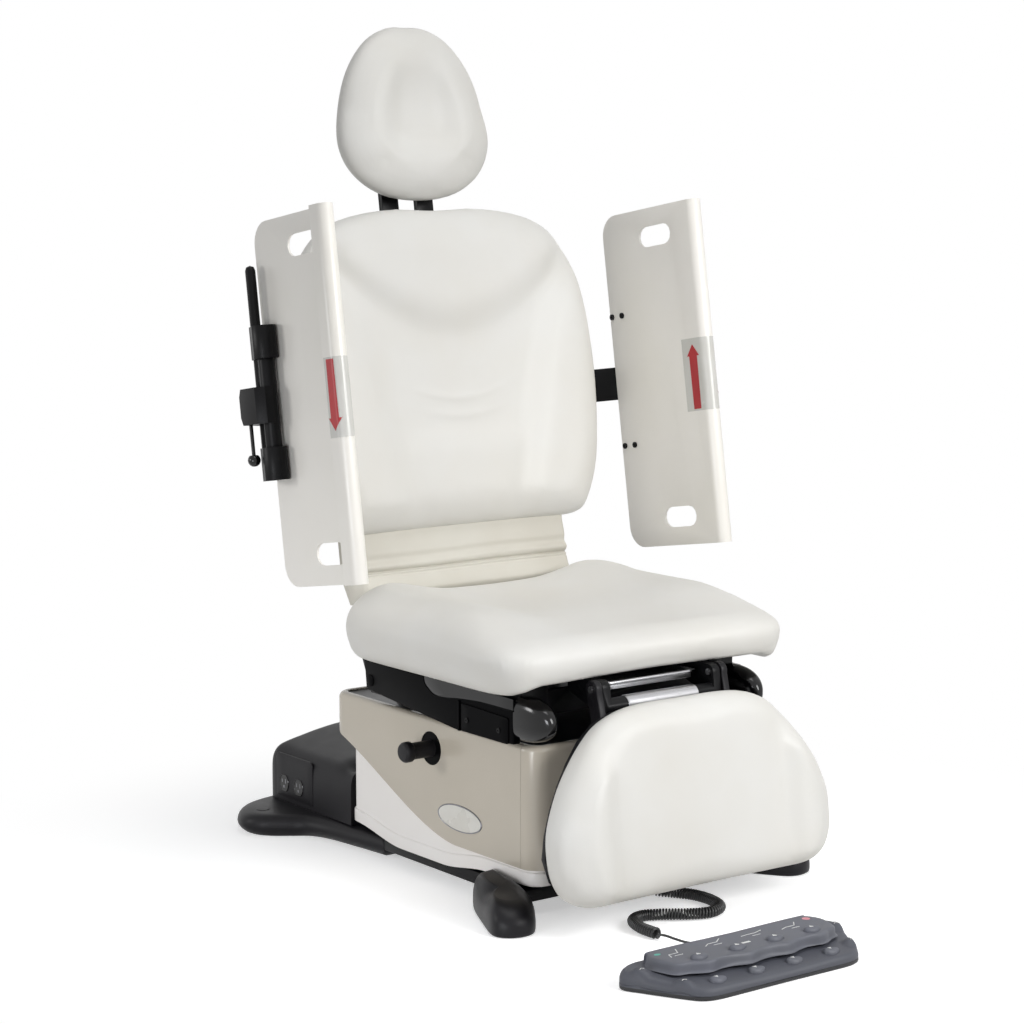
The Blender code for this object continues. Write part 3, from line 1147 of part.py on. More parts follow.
def pad_outline(inset, count):
    wide = PAD_HALF - inset
    top = -inset
    low = -PAD_HEIGHT + inset
    half = [(0.0, top), (wide * 0.36, top - 0.002), (wide * 0.57, top - 0.020), (wide * 0.71, top - 0.055),
            (wide * 0.84, top - 0.110), (wide * 0.915, top - 0.153), (wide * 0.98, top - 0.203),
            (wide, low + 0.096), (wide * 0.985, low + 0.056), (wide * 0.925, low + 0.022),
            (wide * 0.82, low + 0.004), (wide * 0.68, low), (wide * 0.34, low), (0.0, low)]
    return mirrored_outline(half, count)


def make_foot_section():
    outline = pad_outline(0.0, 44)

    def channelled(flat):
        dip = bump(abs(flat.x), PAD_CHANNEL_X, 0.030) * smooth_step(-0.03, -0.12, flat.y)
        return -PAD_CHANNEL * dip

    over = round_over(0.052, PAD_FRONT_DEPTH, 4)
    below = [(0.008, PAD_REAR_DEPTH * 0.60), (0.026, PAD_REAR_DEPTH)]
    cushion = moulded(outline, (0.0, -PAD_HEIGHT * 0.56), over, below, (0.14, 0.30, 0.6), (), 0.0, channelled)
    add_part("foot_cushion", cushion, "warm_white_vinyl", "foot_swing", FOOT @ FACING, 75.0)

    board_outline = [(point.x, point.y) for point in pad_outline(BOARD_INSET, 36)]
    board_rear = BOARD_FRONT + BOARD_THICK
    board = prism(board_outline, "Z", -board_rear, -BOARD_FRONT)
    board = add_part("foot_board", board, "black_textured_plastic", "foot_swing", FOOT @ FACING)
    hinge = FOOT.inverted() @ CHAIR @ Vector((0.0, FOOT_HINGE_Y, FOOT_HINGE_Z))
    links = bmesh.new()
    weld = BOARD_FRONT + BOARD_THICK / 2.0
    for sign in (-1.0, 1.0):
        eye = arc((hinge.y, hinge.z), FOOT_PIN + 0.010, -20.0, 200.0, 10)
        outline = eye + [(weld, -BOARD_INSET - 0.016), (weld, -LINK_REACH), (board_rear + 0.010, -LINK_REACH)]
        prism(outline, "X", sign * LINK_X, sign * (LINK_X + LINK_WIDTH), body=links)
    combine(board, links, "UNION", "foot_swing", FOOT)
    bore = rod("X", (hinge.y, hinge.z), FOOT_PIN + RUN, -FRAME_HALF, FRAME_HALF, 16)
    combine(board, bore, "DIFFERENCE", "foot_swing", FOOT)


# Foot control: a wedge with a raised deck behind, and two rows of buttons
def control_top(y):
    return CONTROL_LOW + CONTROL_SLOPE * (y / CONTROL_DEPTH + 0.5)


def make_foot_control():
    reach = CONTROL_DEPTH / 2.0
    half = [(0.0, -reach), (CONTROL_FRONT_HALF - 0.025, -reach), (CONTROL_FRONT_HALF, -reach + 0.012),
            (CONTROL_REAR_HALF - 0.012, reach * 0.30), (CONTROL_REAR_HALF, reach * 0.62),
            (CONTROL_REAR_HALF - 0.015, reach * 0.88), (CONTROL_REAR_HALF - 0.050, reach), (0.0, reach)]
    outline = mirrored_outline(half, 40)

    def sloped(flat):
        return control_top(flat.y) - CONTROL_LOW

    rounding = [(0.0, CONTROL_LOW * 0.35), (0.003, CONTROL_LOW * 0.80), (0.010, CONTROL_LOW)]
    case = moulded(outline, (0.0, 0.0), rounding, (), (0.5,), (), 0.0, sloped)
    case = add_part("foot_control_base", case, "dark_rubber", "base", CONTROL, 50.0)
    boss = rod("Y", (RELIEF_X, RELIEF_UP), RELIEF_RADIUS, reach - 0.010, reach + RELIEF_LENGTH, 12)
    combine(case, boss, "UNION", "base", CONTROL)

    deck_rear = reach - 0.012
    deck_front = deck_rear - DECK_DEPTH
    half = [(0.0, deck_front), (DECK_HALF * 0.55, deck_front + 0.004), (DECK_HALF - 0.030, deck_front + 0.016),
            (DECK_HALF - 0.006, deck_front + 0.040), (DECK_HALF, deck_rear - 0.030),
            (DECK_HALF - 0.012, deck_rear - 0.006), (DECK_HALF - 0.040, deck_rear), (0.0, deck_rear)]
    deck_outline = mirrored_outline(half, 36)
    seat = max(control_top(deck_rear), control_top(deck_front)) + GAP

    rounding = [(0.001, DECK_HEIGHT * 0.55), (0.008, DECK_HEIGHT)]
    deck = moulded(deck_outline, (0.0, (deck_front + deck_rear) / 2.0), rounding, (), (), (), seat)
    deck = add_part("foot_control_cover", deck, "grey_rubber", "base", CONTROL, 50.0)
    platform = [(point.x * 0.97, point.y * 0.97) for point in deck_outline]
    shelf = prism(platform, "Z", CONTROL_LOW * 0.5, seat - GAP)
    combine(case, shelf, "UNION", "base", CONTROL)

    depth = BUTTON_SKIRT + BUTTON_TRAVEL + GAP
    for row, row_y, surface, owner in (("front", POCKET_ROW_FRONT, control_top(POCKET_ROW_FRONT), case),
                                       ("rear", POCKET_ROW_REAR, seat + DECK_HEIGHT, deck)):
        pockets = bmesh.new()
        for place in range(4):
            x = (place - 1.5) * BUTTON_STEP
            teardrop = button_outline(x, row_y, RUN)
            prism(teardrop, "Z", surface - depth, surface + 0.020, body=pockets)
            skirt = [Vector(point) for point in button_outline(x, row_y, 0.0)]
            dome = moulded(skirt, (x, row_y), [(0.0, BUTTON_SKIRT + 0.0005), (0.0025, BUTTON_SKIRT + BUTTON_RISE * 0.6),
                                               (0.006, BUTTON_SKIRT + BUTTON_RISE)], (), (), (),
                           surface - BUTTON_SKIRT)
            number = str(place + 1)
            add_part("button_" + row + "_" + number, dome, "grey_rubber", "press_" + row + "_" + number, CONTROL, 60.0)
        combine(owner, pockets, "DIFFERENCE", "base", CONTROL)


def button_outline(x, y, grow):
    long_half = BUTTON_LENGTH / 2.0 + grow
    wide_half = BUTTON_WIDTH / 2.0 + grow
    points = []
    for step in range(12):
        angle = 2.0 * math.pi * step / 12.0
        taper = 1.0 - 0.35 * max(math.cos(angle), 0.0)
        points.append((x + long_half * math.cos(angle), y + wide_half * math.sin(angle) * taper))
    return points


# Cord: a plug on the base, a curly stretch along the floor, and a lead to the foot control
def laid(route):
    return [Vector((x, y, CORD_FLOOR if z is None else z)) for x, y, z in route]


def add_cord(name, points, pivot="base", resolution=1):
    curve = bpy.data.curves.new(name, "CURVE")
    curve.dimensions = "3D"
    curve.bevel_depth = CORD_RADIUS
    curve.bevel_resolution = resolution
    curve.use_fill_caps = True
    line = curve.splines.new("POLY")
    line.points.add(len(points) - 1)
    to_pivot = PIVOTS[pivot].inverted() @ CHAIR
    for target, point in zip(line.points, points):
        target.co = (*(to_pivot @ point), 1.0)
    made = bpy.data.objects.new(name, curve)
    made.parent = bpy.data.objects[pivot]
    made.data.materials.append(finish_material("black_cord_jacket"))
    bpy.context.scene.collection.objects.link(made)


def curly_points(route):
    path = even_points(spline(route, 24), CURLS * CURL_POINTS + 1)
    points = []
    count = len(path) - 1
    for step, centre in enumerate(path):
        ahead = (path[min(step + 1, count)] - path[max(step - 1, 0)]).normalized()
        across = ahead.cross(Vector((0.0, 0.0, 1.0))).normalized()
        upward = across.cross(ahead).normalized()
        angle = 2.0 * math.pi * step / CURL_POINTS
        opening = smooth_step(0.0, CURL_POINTS, min(step, count - step))
        reach = COIL_RADIUS * opening
        points.append(centre + across * reach * math.cos(angle) + upward * reach * math.sin(angle))
    first = Vector((0.0, 2.0 * CORD_RADIUS, 0.0))
    last = (path[-1] - path[-2]).normalized() * 2.0 * CORD_RADIUS
    return [points[0] + first] + points + [points[-1] + last]


def least_self_gap(points, away):
    least = 1.0
    for here in range(len(points)):
        for other in range(here + away, len(points)):
            least = min(least, (points[here] - points[other]).length)
    return least - 2.0 * CORD_RADIUS


def make_cord():
    plug_z = BASE_CLEAR + BASE_THICK / 2.0
    plug_front = -BASE_FRONT - GAP - PLUG_LENGTH
    profile = [(0.0, -BASE_FRONT - GAP), (PLUG_RADIUS, -BASE_FRONT - GAP), (PLUG_RADIUS, plug_front + 0.010),
               (PLUG_RADIUS * 0.6, plug_front), (0.0, plug_front)]
    add_part("cord_plug", turned("Y", (PLUG_X, plug_z), profile, 14), "black_gloss_plastic", "base")
    start = Vector((PLUG_X, plug_front - GAP - 2.0 * CORD_RADIUS, plug_z))
    curls = curly_points([start] + laid(COIL_ROUTE))
    print("least gap between curls %.2f mm" % (least_self_gap(curls, CURL_POINTS // 2 + 1) * 1000.0))
    add_cord("cord_curl", curls)

    ahead = (curls[-1] - curls[-2]).normalized()
    boss_end = CONTROL_Y + CONTROL_DEPTH / 2.0 + RELIEF_LENGTH + GAP
    boss = Vector((CONTROL_X + RELIEF_X, boss_end, RELIEF_UP))
    straight = 3.0 * CORD_RADIUS
    coil_end = curls[-1] + ahead * GAP
    route = [coil_end, coil_end + ahead * straight] + laid(LEAD_ROUTE)
    route += [boss + Vector((0.0, straight, 0.0)), boss]
    add_cord("cord_lead", [coil_end] + even_points(spline(route[1:-1], 10), 12) + [boss], resolution=2)


def make_pivots():
    add_pivot("base")
    add_pivot("middle_stage", "base")
    add_pivot("carriage", "base")
    add_pivot("handle_turn", "carriage", CHAIR, (-UPPER_HALF, HANDLE_Y, HANDLE_Z))
    add_pivot("seat_tilt", "carriage", CHAIR, (0.0, TILT_Y, TILT_Z))
    add_pivot("pan_slide", "seat_tilt", CHAIR, (0.0, -PAN_FRONT, FRAME_DECK - PAN_HEADROOM))
    hinge = BACK.inverted() @ CHAIR @ Vector((0.0, BACK_HINGE_Y, BACK_HINGE_Z))
    add_pivot("back_recline", "seat_tilt", BACK, hinge)
    add_pivot("headrest_slide", "back_recline", BACK, (0.0, HEAD_AXIS_BACK, GUIDE_LOW))
    add_pivot("headrest_tilt", "headrest_slide", BACK, (0.0, HEAD_AXIS_BACK, HEAD_AXIS_UP))
    foot_hinge = FOOT.inverted() @ CHAIR @ Vector((0.0, FOOT_HINGE_Y, FOOT_HINGE_Z))
    add_pivot("foot_swing", "seat_tilt", FOOT, foot_hinge)
    for side, sign in SIDES:
        add_pivot("rail_swing_" + side, "back_recline", BACK, (sign * TUBE_X, -TUBE_FORE, ARM_LOW))
        add_pivot("release_" + side, "back_recline", BACK, (sign * KNOB_X, -KNOB_FORE, ARM_LOW))
    for row, row_y in (("front", POCKET_ROW_FRONT), ("rear", POCKET_ROW_REAR)):
        for place in range(4):
            point = ((place - 1.5) * BUTTON_STEP, row_y, control_top(row_y))
            add_pivot("press_" + row + "_" + str(place + 1), "base", CONTROL, point)


def main():
    clear_scene()
    make_pivots()
    make_base()
    make_power_box()
    make_lift()
    make_carriage()
    make_seat_frame()
    make_seat_covers()
    make_pan()
    make_seat_cushion()
    make_back()
    make_headrest()
    make_rails()
    make_foot_section()
    make_foot_control()
    make_cord()


main()
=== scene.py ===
import json
import math

import bmesh
import bpy
import numpy as np
from mathutils import Matrix, Vector


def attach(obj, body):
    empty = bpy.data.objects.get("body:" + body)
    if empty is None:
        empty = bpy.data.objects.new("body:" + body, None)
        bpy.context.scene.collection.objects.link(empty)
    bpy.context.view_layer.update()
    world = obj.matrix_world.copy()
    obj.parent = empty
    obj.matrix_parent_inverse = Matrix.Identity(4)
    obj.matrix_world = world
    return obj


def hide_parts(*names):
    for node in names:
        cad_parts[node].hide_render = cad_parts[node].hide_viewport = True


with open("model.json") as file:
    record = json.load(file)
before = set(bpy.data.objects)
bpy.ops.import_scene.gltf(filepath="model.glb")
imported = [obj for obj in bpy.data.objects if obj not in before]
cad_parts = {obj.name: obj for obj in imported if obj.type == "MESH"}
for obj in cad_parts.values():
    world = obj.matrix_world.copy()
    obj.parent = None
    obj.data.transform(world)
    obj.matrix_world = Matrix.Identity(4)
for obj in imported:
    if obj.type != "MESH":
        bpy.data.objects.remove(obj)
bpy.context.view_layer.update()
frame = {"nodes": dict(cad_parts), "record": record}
scene = bpy.context.scene
scene.view_settings.view_transform = "Standard"

# The frames that the pieces are drawn in, in metres: the back and the foot pad lean
chairShift = 0.191


def leaning(y, z, degrees):
    return Matrix.Translation((0.0, y + chairShift, z)) @ Matrix.Rotation(math.radians(degrees), 4, "X")


backFrame = leaning(0.1386, 0.465, -9.0)
footFrame = leaning(-0.488, 0.384, -8.0)
seatFrame = leaning(0.0, 0.0, 0.0)
controlFrame = Matrix.Translation((-0.134, -0.828 + chairShift, 0.0))
# A pad is drawn lying flat: its Y goes up and its front faces forward
facing = Matrix(((1, 0, 0, 0), (0, 0, -1, 0), (0, 1, 0, 0), (0, 0, 0, 1)))
bothSides = (("Right", -1.0), ("Left", 1.0))


# A flat form set on a side face: its X goes along Y, its Y goes up and its height goes out
def onSide(sign, face, y=0.0, z=0.0):
    return Matrix(((0, 0, sign, sign * face), (1, 0, 0, y), (0, 1, 0, z), (0, 0, 0, 1)))


def hexColour(code):
    parts = [int(code[place:place + 2], 16) / 255.0 for place in (1, 3, 5)]
    linear = [part / 12.92 if part <= 0.04045 else ((part + 0.055) / 1.055) ** 2.4 for part in parts]
    return (*linear, 1.0)


def joinNodes(tree, node, links):
    for name, (source, output) in links.items():
        tree.links.new(source.outputs[output], node.inputs[name])


# Adds one node: settings go to its sockets or its own fields, links name a node and its output
def addNode(tree, kind, settings=None, links=None):
    node = tree.nodes.new(kind)
    for name, value in (settings or {}).items():
        if hasattr(node, name):
            setattr(node, name, value)
    for name, value in (settings or {}).items():
        if not hasattr(node, name):
            node.inputs[name].default_value = value
    joinNodes(tree, node, links or {})
    return node


def smoothStep(low, high, value):
    share = np.clip((np.asarray(value, float) - low) / (high - low), 0.0, 1.0)
    return share * share * (3.0 - 2.0 * share)


def bump(value, centre, width):
    return np.exp(-((np.asarray(value, float) - centre) / width) ** 2)


def turns(count):
    return np.linspace(0.0, 2.0 * math.pi, count, False)


def ellipse(x, y, wide, high, count):
    return [(x + wide * math.cos(turn), y + high * math.sin(turn)) for turn in turns(count)]


# An arc about a middle, from an angle by even steps, in degrees
def arc(x, y, radius, start, step, count):
    angles = [math.radians(start + step * place) for place in range(count)]
    return [(x + radius * math.cos(angle), y + radius * math.sin(angle)) for angle in angles]


def inScene(name, data):
    made = bpy.data.objects.new(name, data)
    scene.collection.objects.link(made)
    return made


def aim(obj, place, target):
    obj.location = place
    obj.rotation_euler = (Vector(target) - Vector(place)).to_track_quat("-Z", "Y").to_euler()


# Camera at the photograph's angle
view = {"place": (-2.884, -3.636, 1.299), "target": (0.0, 0.191, 0.651), "lens": 90.7, "sensor": 36.0}
camera = inScene("viewCamera", bpy.data.cameras.new("viewCamera"))
camera.data.lens = view["lens"]
camera.data.sensor_width = view["sensor"]
aim(camera, view["place"], view["target"])
scene.camera = camera
print("camera set")


# Materials: each is named for the real finish
def newFinish(name, colour, sockets):
    made = bpy.data.materials.new(name)
    made.use_nodes = True
    shader = made.node_tree.nodes["Principled BSDF"]
    shader.inputs["Base Color"].default_value = hexColour(colour)
    for socket, value in sockets.items():
        shader.inputs[socket.replace("_", " ")].default_value = value
    return made, made.node_tree, shader


# A grain in the relief, and a little change of colour and gloss over a larger patch
def makeFinish(name, colour, tint, grainMm, depthMm, patchMm, gloss, cells=False, **sockets):
    made, tree, shader = newFinish(name, colour, sockets)
    coords = addNode(tree, "ShaderNodeTexCoord")
    place = {"Vector": (coords, "Object")}
    if cells:
        grain = addNode(tree, "ShaderNodeTexVoronoi", {"Scale": 1000.0 / grainMm, "feature": "F1"}, place)
    else:
        grain = addNode(tree, "ShaderNodeTexNoise", {"Scale": 1000.0 / grainMm, "Detail": 2.0}, place)
    relief = addNode(tree, "ShaderNodeBump", {"Strength": 1.0, "Distance": depthMm / 1000.0},
                     {"Height": (grain, "Distance" if cells else "Fac")})
    patch = addNode(tree, "ShaderNodeTexNoise",
                    {"Scale": 1000.0 / patchMm, "Detail": 3.0, "Roughness": 0.55}, place)
    shades = addNode(tree, "ShaderNodeValToRGB", None, {"Fac": (patch, "Fac")})
    for element, position, shade in zip(shades.color_ramp.elements, (0.35, 0.65), (tint, colour)):
        element.position = position
        element.color = hexColour(shade)
    polish = addNode(tree, "ShaderNodeMapRange",
                     {"From Min": 0.3, "From Max": 0.7, "To Min": gloss[0], "To Max": gloss[1]},
                     {"Value": (patch, "Fac")})
    joinNodes(tree, shader, {"Normal": (relief, "Normal"), "Base Color": (shades, "Color"),
                             "Roughness": (polish, "Result")})
    return made


# Painted shade on a moulding's lower walls: below a height above the floor, along the moulding's groove, the
# colour changes to a darker one
def addPaintedShadeBand(finish, heightMm, colour):
    tree = finish.node_tree
    shader = tree.nodes["Principled BSDF"]
    body = shader.inputs["Base Color"].links[0].from_node
    coords = addNode(tree, "ShaderNodeTexCoord")
    apart = addNode(tree, "ShaderNodeSeparateXYZ", None, {"Vector": (coords, "Object")})
    above = addNode(tree, "ShaderNodeMapRange",
                    {"From Min": (heightMm - 0.3) / 1000.0, "From Max": (heightMm + 0.3) / 1000.0},
                    {"Value": (apart, "Z")})
    both = addNode(tree, "ShaderNodeMix", {"data_type": "RGBA"}, {0: (above, "Result"), 7: (body, "Color")})
    both.inputs[6].default_value = hexColour(colour)
    joinNodes(tree, shader, {"Base Color": (both, 2)})
    return finish


# Brushed steel: fine lines along X, drawn 1.5 mm apart so that they show
def makeBrushedSteel(name, colour, tint):
    made, tree, shader = newFinish(name, colour, {"Metallic": 1.0})
    coords = addNode(tree, "ShaderNodeTexCoord")
    stretch = addNode(tree, "ShaderNodeMapping", {"Scale": (12.0, 660.0, 660.0)},
                      {"Vector": (coords, "Object")})
    lines = addNode(tree, "ShaderNodeTexNoise", {"Scale": 1.0, "Detail": 3.0},
                    {"Vector": (stretch, "Vector")})
    shades = addNode(tree, "ShaderNodeValToRGB", None, {"Fac": (lines, "Fac")})
    shades.color_ramp.elements[0].color = hexColour(tint)
    shades.color_ramp.elements[1].color = hexColour(colour)
    polish = addNode(tree, "ShaderNodeMapRange", {"To Min": 0.20, "To Max": 0.38}, {"Value": (lines, "Fac")})
    relief = addNode(tree, "ShaderNodeBump", {"Strength": 0.5, "Distance": 0.0001},
                     {"Height": (lines, "Fac")})
    joinNodes(tree, shader, {"Normal": (relief, "Normal"), "Base Color": (shades, "Color"),
                             "Roughness": (polish, "Result")})
    return made


finishes = {
    # Embossed vinyl: a soft satin skin, its 1 mm grain drawn at 2.6 mm so that it shows
    "vinyl": makeFinish("embossedUpholsteryVinyl", "#D7D6D2", "#D3D1CB", 2.6, 0.05, 260.0, (0.46, 0.54), True,
                        Specular_IOR_Level=0.42),
    # The apron's thinner vinyl: duller, and its colour a shade deeper as painted shade of the recess between
    # the back pad and the seat
    "shadedApronVinyl": makeFinish("foldedVinylPaintedShade", "#CAC7BD", "#C5C1B6", 2.6, 0.05, 200.0, (0.50, 0.58),
                            True, Specular_IOR_Level=0.35),
    # Powder coat: an even satin with a faint orange peel
    "powderCoat": makeFinish("offWhitePowderCoat", "#F1EEE8", "#EDEAE2", 3.0, 0.03, 400.0, (0.30, 0.36)),
    # Moulded ABS: smooth, with a broad soft gloss
    "beigeAbs": makeFinish("beigeMouldedAbs", "#C1B9AB", "#BCB4A5", 4.0, 0.012, 300.0, (0.20, 0.26)),
    "paleAbs": makeFinish("paleMouldedAbs", "#EFECE8", "#EBE7E2", 3.0, 0.015, 300.0, (0.32, 0.38)),
    # Textured black ABS: a spark-eroded grain of about 1 mm, drawn at 2 mm
    "texturedBlack": makeFinish("texturedBlackAbs", "#161518", "#121114", 2.0, 0.16, 120.0, (0.38, 0.50),
                                Specular_IOR_Level=0.20),
    # Satin black ABS: darker than the grained mouldings, with a soft shine
    "satinBlack": makeFinish("satinBlackAbs", "#070708", "#050506", 3.0, 0.03, 150.0, (0.36, 0.46),
                             Specular_IOR_Level=0.03),
    "glossBlack": makeFinish("polishedBlackAbs", "#070708", "#050506", 8.0, 0.01, 150.0, (0.10, 0.16),
                             Specular_IOR_Level=0.40),
    "blackSteel": makeFinish("blackCoatedSteel", "#0C0C0E", "#09090A", 2.4, 0.04, 200.0, (0.30, 0.40),
                             Specular_IOR_Level=0.15),
    "brightSteel": makeBrushedSteel("brushedStainlessSteel", "#C6C6C8", "#A9A9AC"),
    # Moulded rubber: matt, blue grey, with a fine cast surface
    "greyRubber": makeFinish("blueGreyMouldedRubber", "#5C5E67", "#56585F", 1.8, 0.06, 90.0, (0.52, 0.64)),
    # the foot control case's rubber, with painted shade in a darker colour below its groove 7.2 mm up
    "darkRubber": addPaintedShadeBand(
        makeFinish("darkMouldedRubber", "#474951", "#41434B", 1.8, 0.06, 90.0, (0.50, 0.62)), 7.2, "#1B1B1E"),
    "cordJacket": makeFinish("blackVinylCordJacket", "#141415", "#101011", 2.0, 0.02, 40.0, (0.30, 0.40)),
    "labelFilm": makeFinish("greyLabelFilm", "#CFCEC9", "#CAC9C3", 5.0, 0.01, 60.0, (0.22, 0.28)),
    "redInk": makeFinish("redPrintedInk", "#B31722", "#A8141F", 3.0, 0.01, 40.0, (0.34, 0.42)),
    "whiteInk": makeFinish("whitePrintedInk", "#DDDDDB", "#D2D2CF", 2.0, 0.01, 30.0, (0.45, 0.52)),
    "tealInk": makeFinish("tealPrintedInk", "#4FAE9E", "#48A392", 2.0, 0.01, 30.0, (0.45, 0.52)),
    "pinkInk": makeFinish("pinkPrintedInk", "#D8909A", "#CE858F", 2.0, 0.01, 30.0, (0.45, 0.52)),
    "badgePlate": makeFinish("satinBadgePlate", "#D9D7D0", "#D1CEC5", 3.0, 0.01, 60.0, (0.24, 0.30)),
    "zincScrew": makeFinish("zincPlatedScrew", "#8E8E92", "#77777B", 1.2, 0.03, 12.0, (0.28, 0.40),
                            Metallic=1.0),
}
slotFinish = {
    "warm_white_vinyl": "vinyl", "off_white_powder_coat": "powderCoat",
    "beige_moulded_plastic": "beigeAbs", "pale_moulded_plastic": "paleAbs",
    "black_textured_plastic": "texturedBlack", "black_gloss_plastic": "glossBlack",
    "black_coated_steel": "blackSteel", "bright_steel": "brightSteel", "grey_rubber": "greyRubber",
    "dark_rubber": "darkRubber", "black_cord_jacket": "cordJacket"}
nodeSlot = {row["node"]: row["material_slot"] for row in frame["record"]["subparts"]}
nodeBody = {node: body for body, nodes in frame["record"]["behaviour"]["bodies"].items() for node in nodes}
# The material slot that a piece of each finish goes in
finishSlot = {finish: slot for slot, finish in slotFinish.items()}
finishSlot.update({
    "shadedApronVinyl": "warm_white_vinyl", "satinBlack": "black_textured_plastic",
    "badgePlate": "beige_moulded_plastic", "zincScrew": "bright_steel",
    "labelFilm": "off_white_powder_coat", "redInk": "off_white_powder_coat",
    "whiteInk": "grey_rubber", "tealInk": "grey_rubber", "pinkInk": "grey_rubber"})
for node, obj in frame["nodes"].items():
    obj.data.materials.clear()
    obj.data.materials.append(finishes[slotFinish[nodeSlot[node]]])
print("finishes", len(finishes))


# Puts a finished mesh in the scene on its body, with its finish
def addPiece(name, mesh, finish, body, nodes=()):
    mesh.name = name
    mesh.materials.clear()
    mesh.materials.append(finishes[finish])
    made = inScene(name, mesh)
    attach(made, body)
    if nodes:
        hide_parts(*nodes)
    return made


def smoothed(mesh, angle):
    mesh.shade_smooth()
    mesh.set_sharp_from_angle(angle=math.radians(angle))
    return mesh


def meshFrom(body, place=None, smoothAngle=40.0):
    bmesh.ops.remove_doubles(body, verts=body.verts, dist=1e-6)
    if place is not None:
        body.transform(place)
        body.normal_update()
    bmesh.ops.recalc_face_normals(body, faces=body.faces)
    mesh = bpy.data.meshes.new("made")
    body.to_mesh(mesh)
    body.free()
    return smoothed(mesh, smoothAngle)


def addTo(target, source):
    mesh = bpy.data.meshes.new("joined")
    bmesh.ops.recalc_face_normals(source, faces=source.faces)
    source.to_mesh(mesh)
    source.free()
    target.from_mesh(mesh)
    bpy.data.meshes.remove(mesh)


# The mesh that an object shows with its modifiers, as a plain mesh
def shownMesh(obj):
    graph = bpy.context.evaluated_depsgraph_get()
    return bpy.data.meshes.new_from_object(obj.evaluated_get(graph))


def removeObject(obj):
    mesh = obj.data
    bpy.data.objects.remove(obj)
    if mesh.users == 0:
        bpy.data.meshes.remove(mesh)


# The plain mesh that one modifier makes of a mesh
def modified(mesh, kind, **settings):
    obj = inScene("made", mesh)
    change = obj.modifiers.new("change", kind)
    for name, value in settings.items():
        setattr(change, name, value)
    made = shownMesh(obj)
    removeObject(obj)
    return made


def lofted(rings, closed=False):
    body = bmesh.new()
    made = [[body.verts.new(tuple(point)) for point in ring] for ring in rings]
    pairs = list(zip(made, made[1:]))
    if closed:
        pairs.append((made[-1], made[0]))
    for first, second in pairs:
        count = max(len(first), len(second))
        for step in range(count):
            after = (step + 1) % count
            if len(first) == 1:
                body.faces.new((first[0], second[step], second[after]))
            elif len(second) == 1:
                body.faces.new((first[step], second[0], first[after]))
            else:
                body.faces.new((first[step], second[step], second[after], first[after]))
    if not closed:
        for end in (made[0], made[-1]):
            if len(end) > 2:
                body.faces.new(end)
    return body


def curveThrough(points, perSpan, closed=False):
    knots = [Vector(point) for point in points]
    count = len(knots)
    curve = []
    for span in range(count if closed else count - 1):
        before = knots[(span - 1) % count] if closed or span else knots[0] * 2.0 - knots[1]
        here = knots[span]
        there = knots[(span + 1) % count]
        after = knots[(span + 2) % count] if closed or span + 2 < count else knots[-1] * 2.0 - knots[-2]
        for step in range(perSpan):
            share = step / perSpan
            curve.append(0.5 * (here * 2.0 + (there - before) * share
                                + (before * 2.0 - here * 5.0 + there * 4.0 - after) * share ** 2
                                + (here * 3.0 - before - there * 3.0 + after) * share ** 3))
    if not closed:
        curve.append(knots[-1])
    return curve


def evenPoints(curve, count, closed=False):
    path = curve + [curve[0]] if closed else curve
    lengths = [0.0]
    for first, second in zip(path, path[1:]):
        lengths.append(lengths[-1] + (second - first).length)
    points = []
    place = 0
    for step in range(count):
        target = lengths[-1] * step / (count if closed else count - 1)
        while place < len(path) - 2 and lengths[place + 1] < target:
            place += 1
        share = (target - lengths[place]) / max(lengths[place + 1] - lengths[place], 1e-12)
        points.append(path[place].lerp(path[place + 1], share))
    return points


def mirroredOutline(half, count):
    whole = list(half) + [(-x, other) for x, other in reversed(half[1:-1])]
    return evenPoints(curveThrough(whole, 24, closed=True), count, closed=True)


# Rings step in from an outline by rows of inset, height and share of the relief, then on to the middle
def ringsIn(outline, centre, rows, relief, fill):
    plan = np.array([(point[0], point[1]) for point in outline])
    middle = np.array(centre)
    inward = middle - plan
    away = np.linalg.norm(inward, axis=1, keepdims=True)
    inward = inward / away

    def raised(flat, height, share):
        extra = share * relief(flat[:, 0], flat[:, 1]) if relief else 0.0
        return np.column_stack([flat, np.broadcast_to(height + extra, len(flat))])

    rings = [raised(plan + inward * np.minimum(inset, away * 0.92), height, share)
             for inset, height, share in rows]
    last = rings[-1][:, :2]
    for step in range(1, fill + 1):
        ring = raised(last + (middle - last) * (step / fill), rows[-1][1], rows[-1][2])
        rings.append(ring[:1] if step == fill else ring)
    return rings


# Moulded form: an edge profile of inset and height, with a height change over the plan
def mouldedBody(outline, centre, profile, relief=None, fill=10):
    low, high = profile[0][1], profile[-1][1]
    rows = [(inset, height, (height - low) / (high - low)) for inset, height in profile]
    return lofted(ringsIn(outline, centre, rows, relief, fill))


# A turned form: rows of a profile are a radius and a place along the axis
def turned(profile, steps=48):
    rings = [[(radius * math.cos(turn), radius * math.sin(turn), along) for turn in turns(steps)]
             for radius, along in profile]
    return lofted([ring[:1] if radius == 0.0 else ring for ring, (radius, along) in zip(rings, profile)])


# A round tube along a path
def tube(path, radius, reference, steps=16):
    rings = []
    for place, point in enumerate(path):
        ahead = (path[min(place + 1, len(path) - 1)] - path[max(place - 1, 0)]).normalized()
        across = ahead.cross(Vector(reference)).normalized()
        upward = across.cross(ahead)
        rings.append([point + (across * math.cos(turn) + upward * math.sin(turn)) * radius
                      for turn in turns(steps)])
    return lofted(rings)


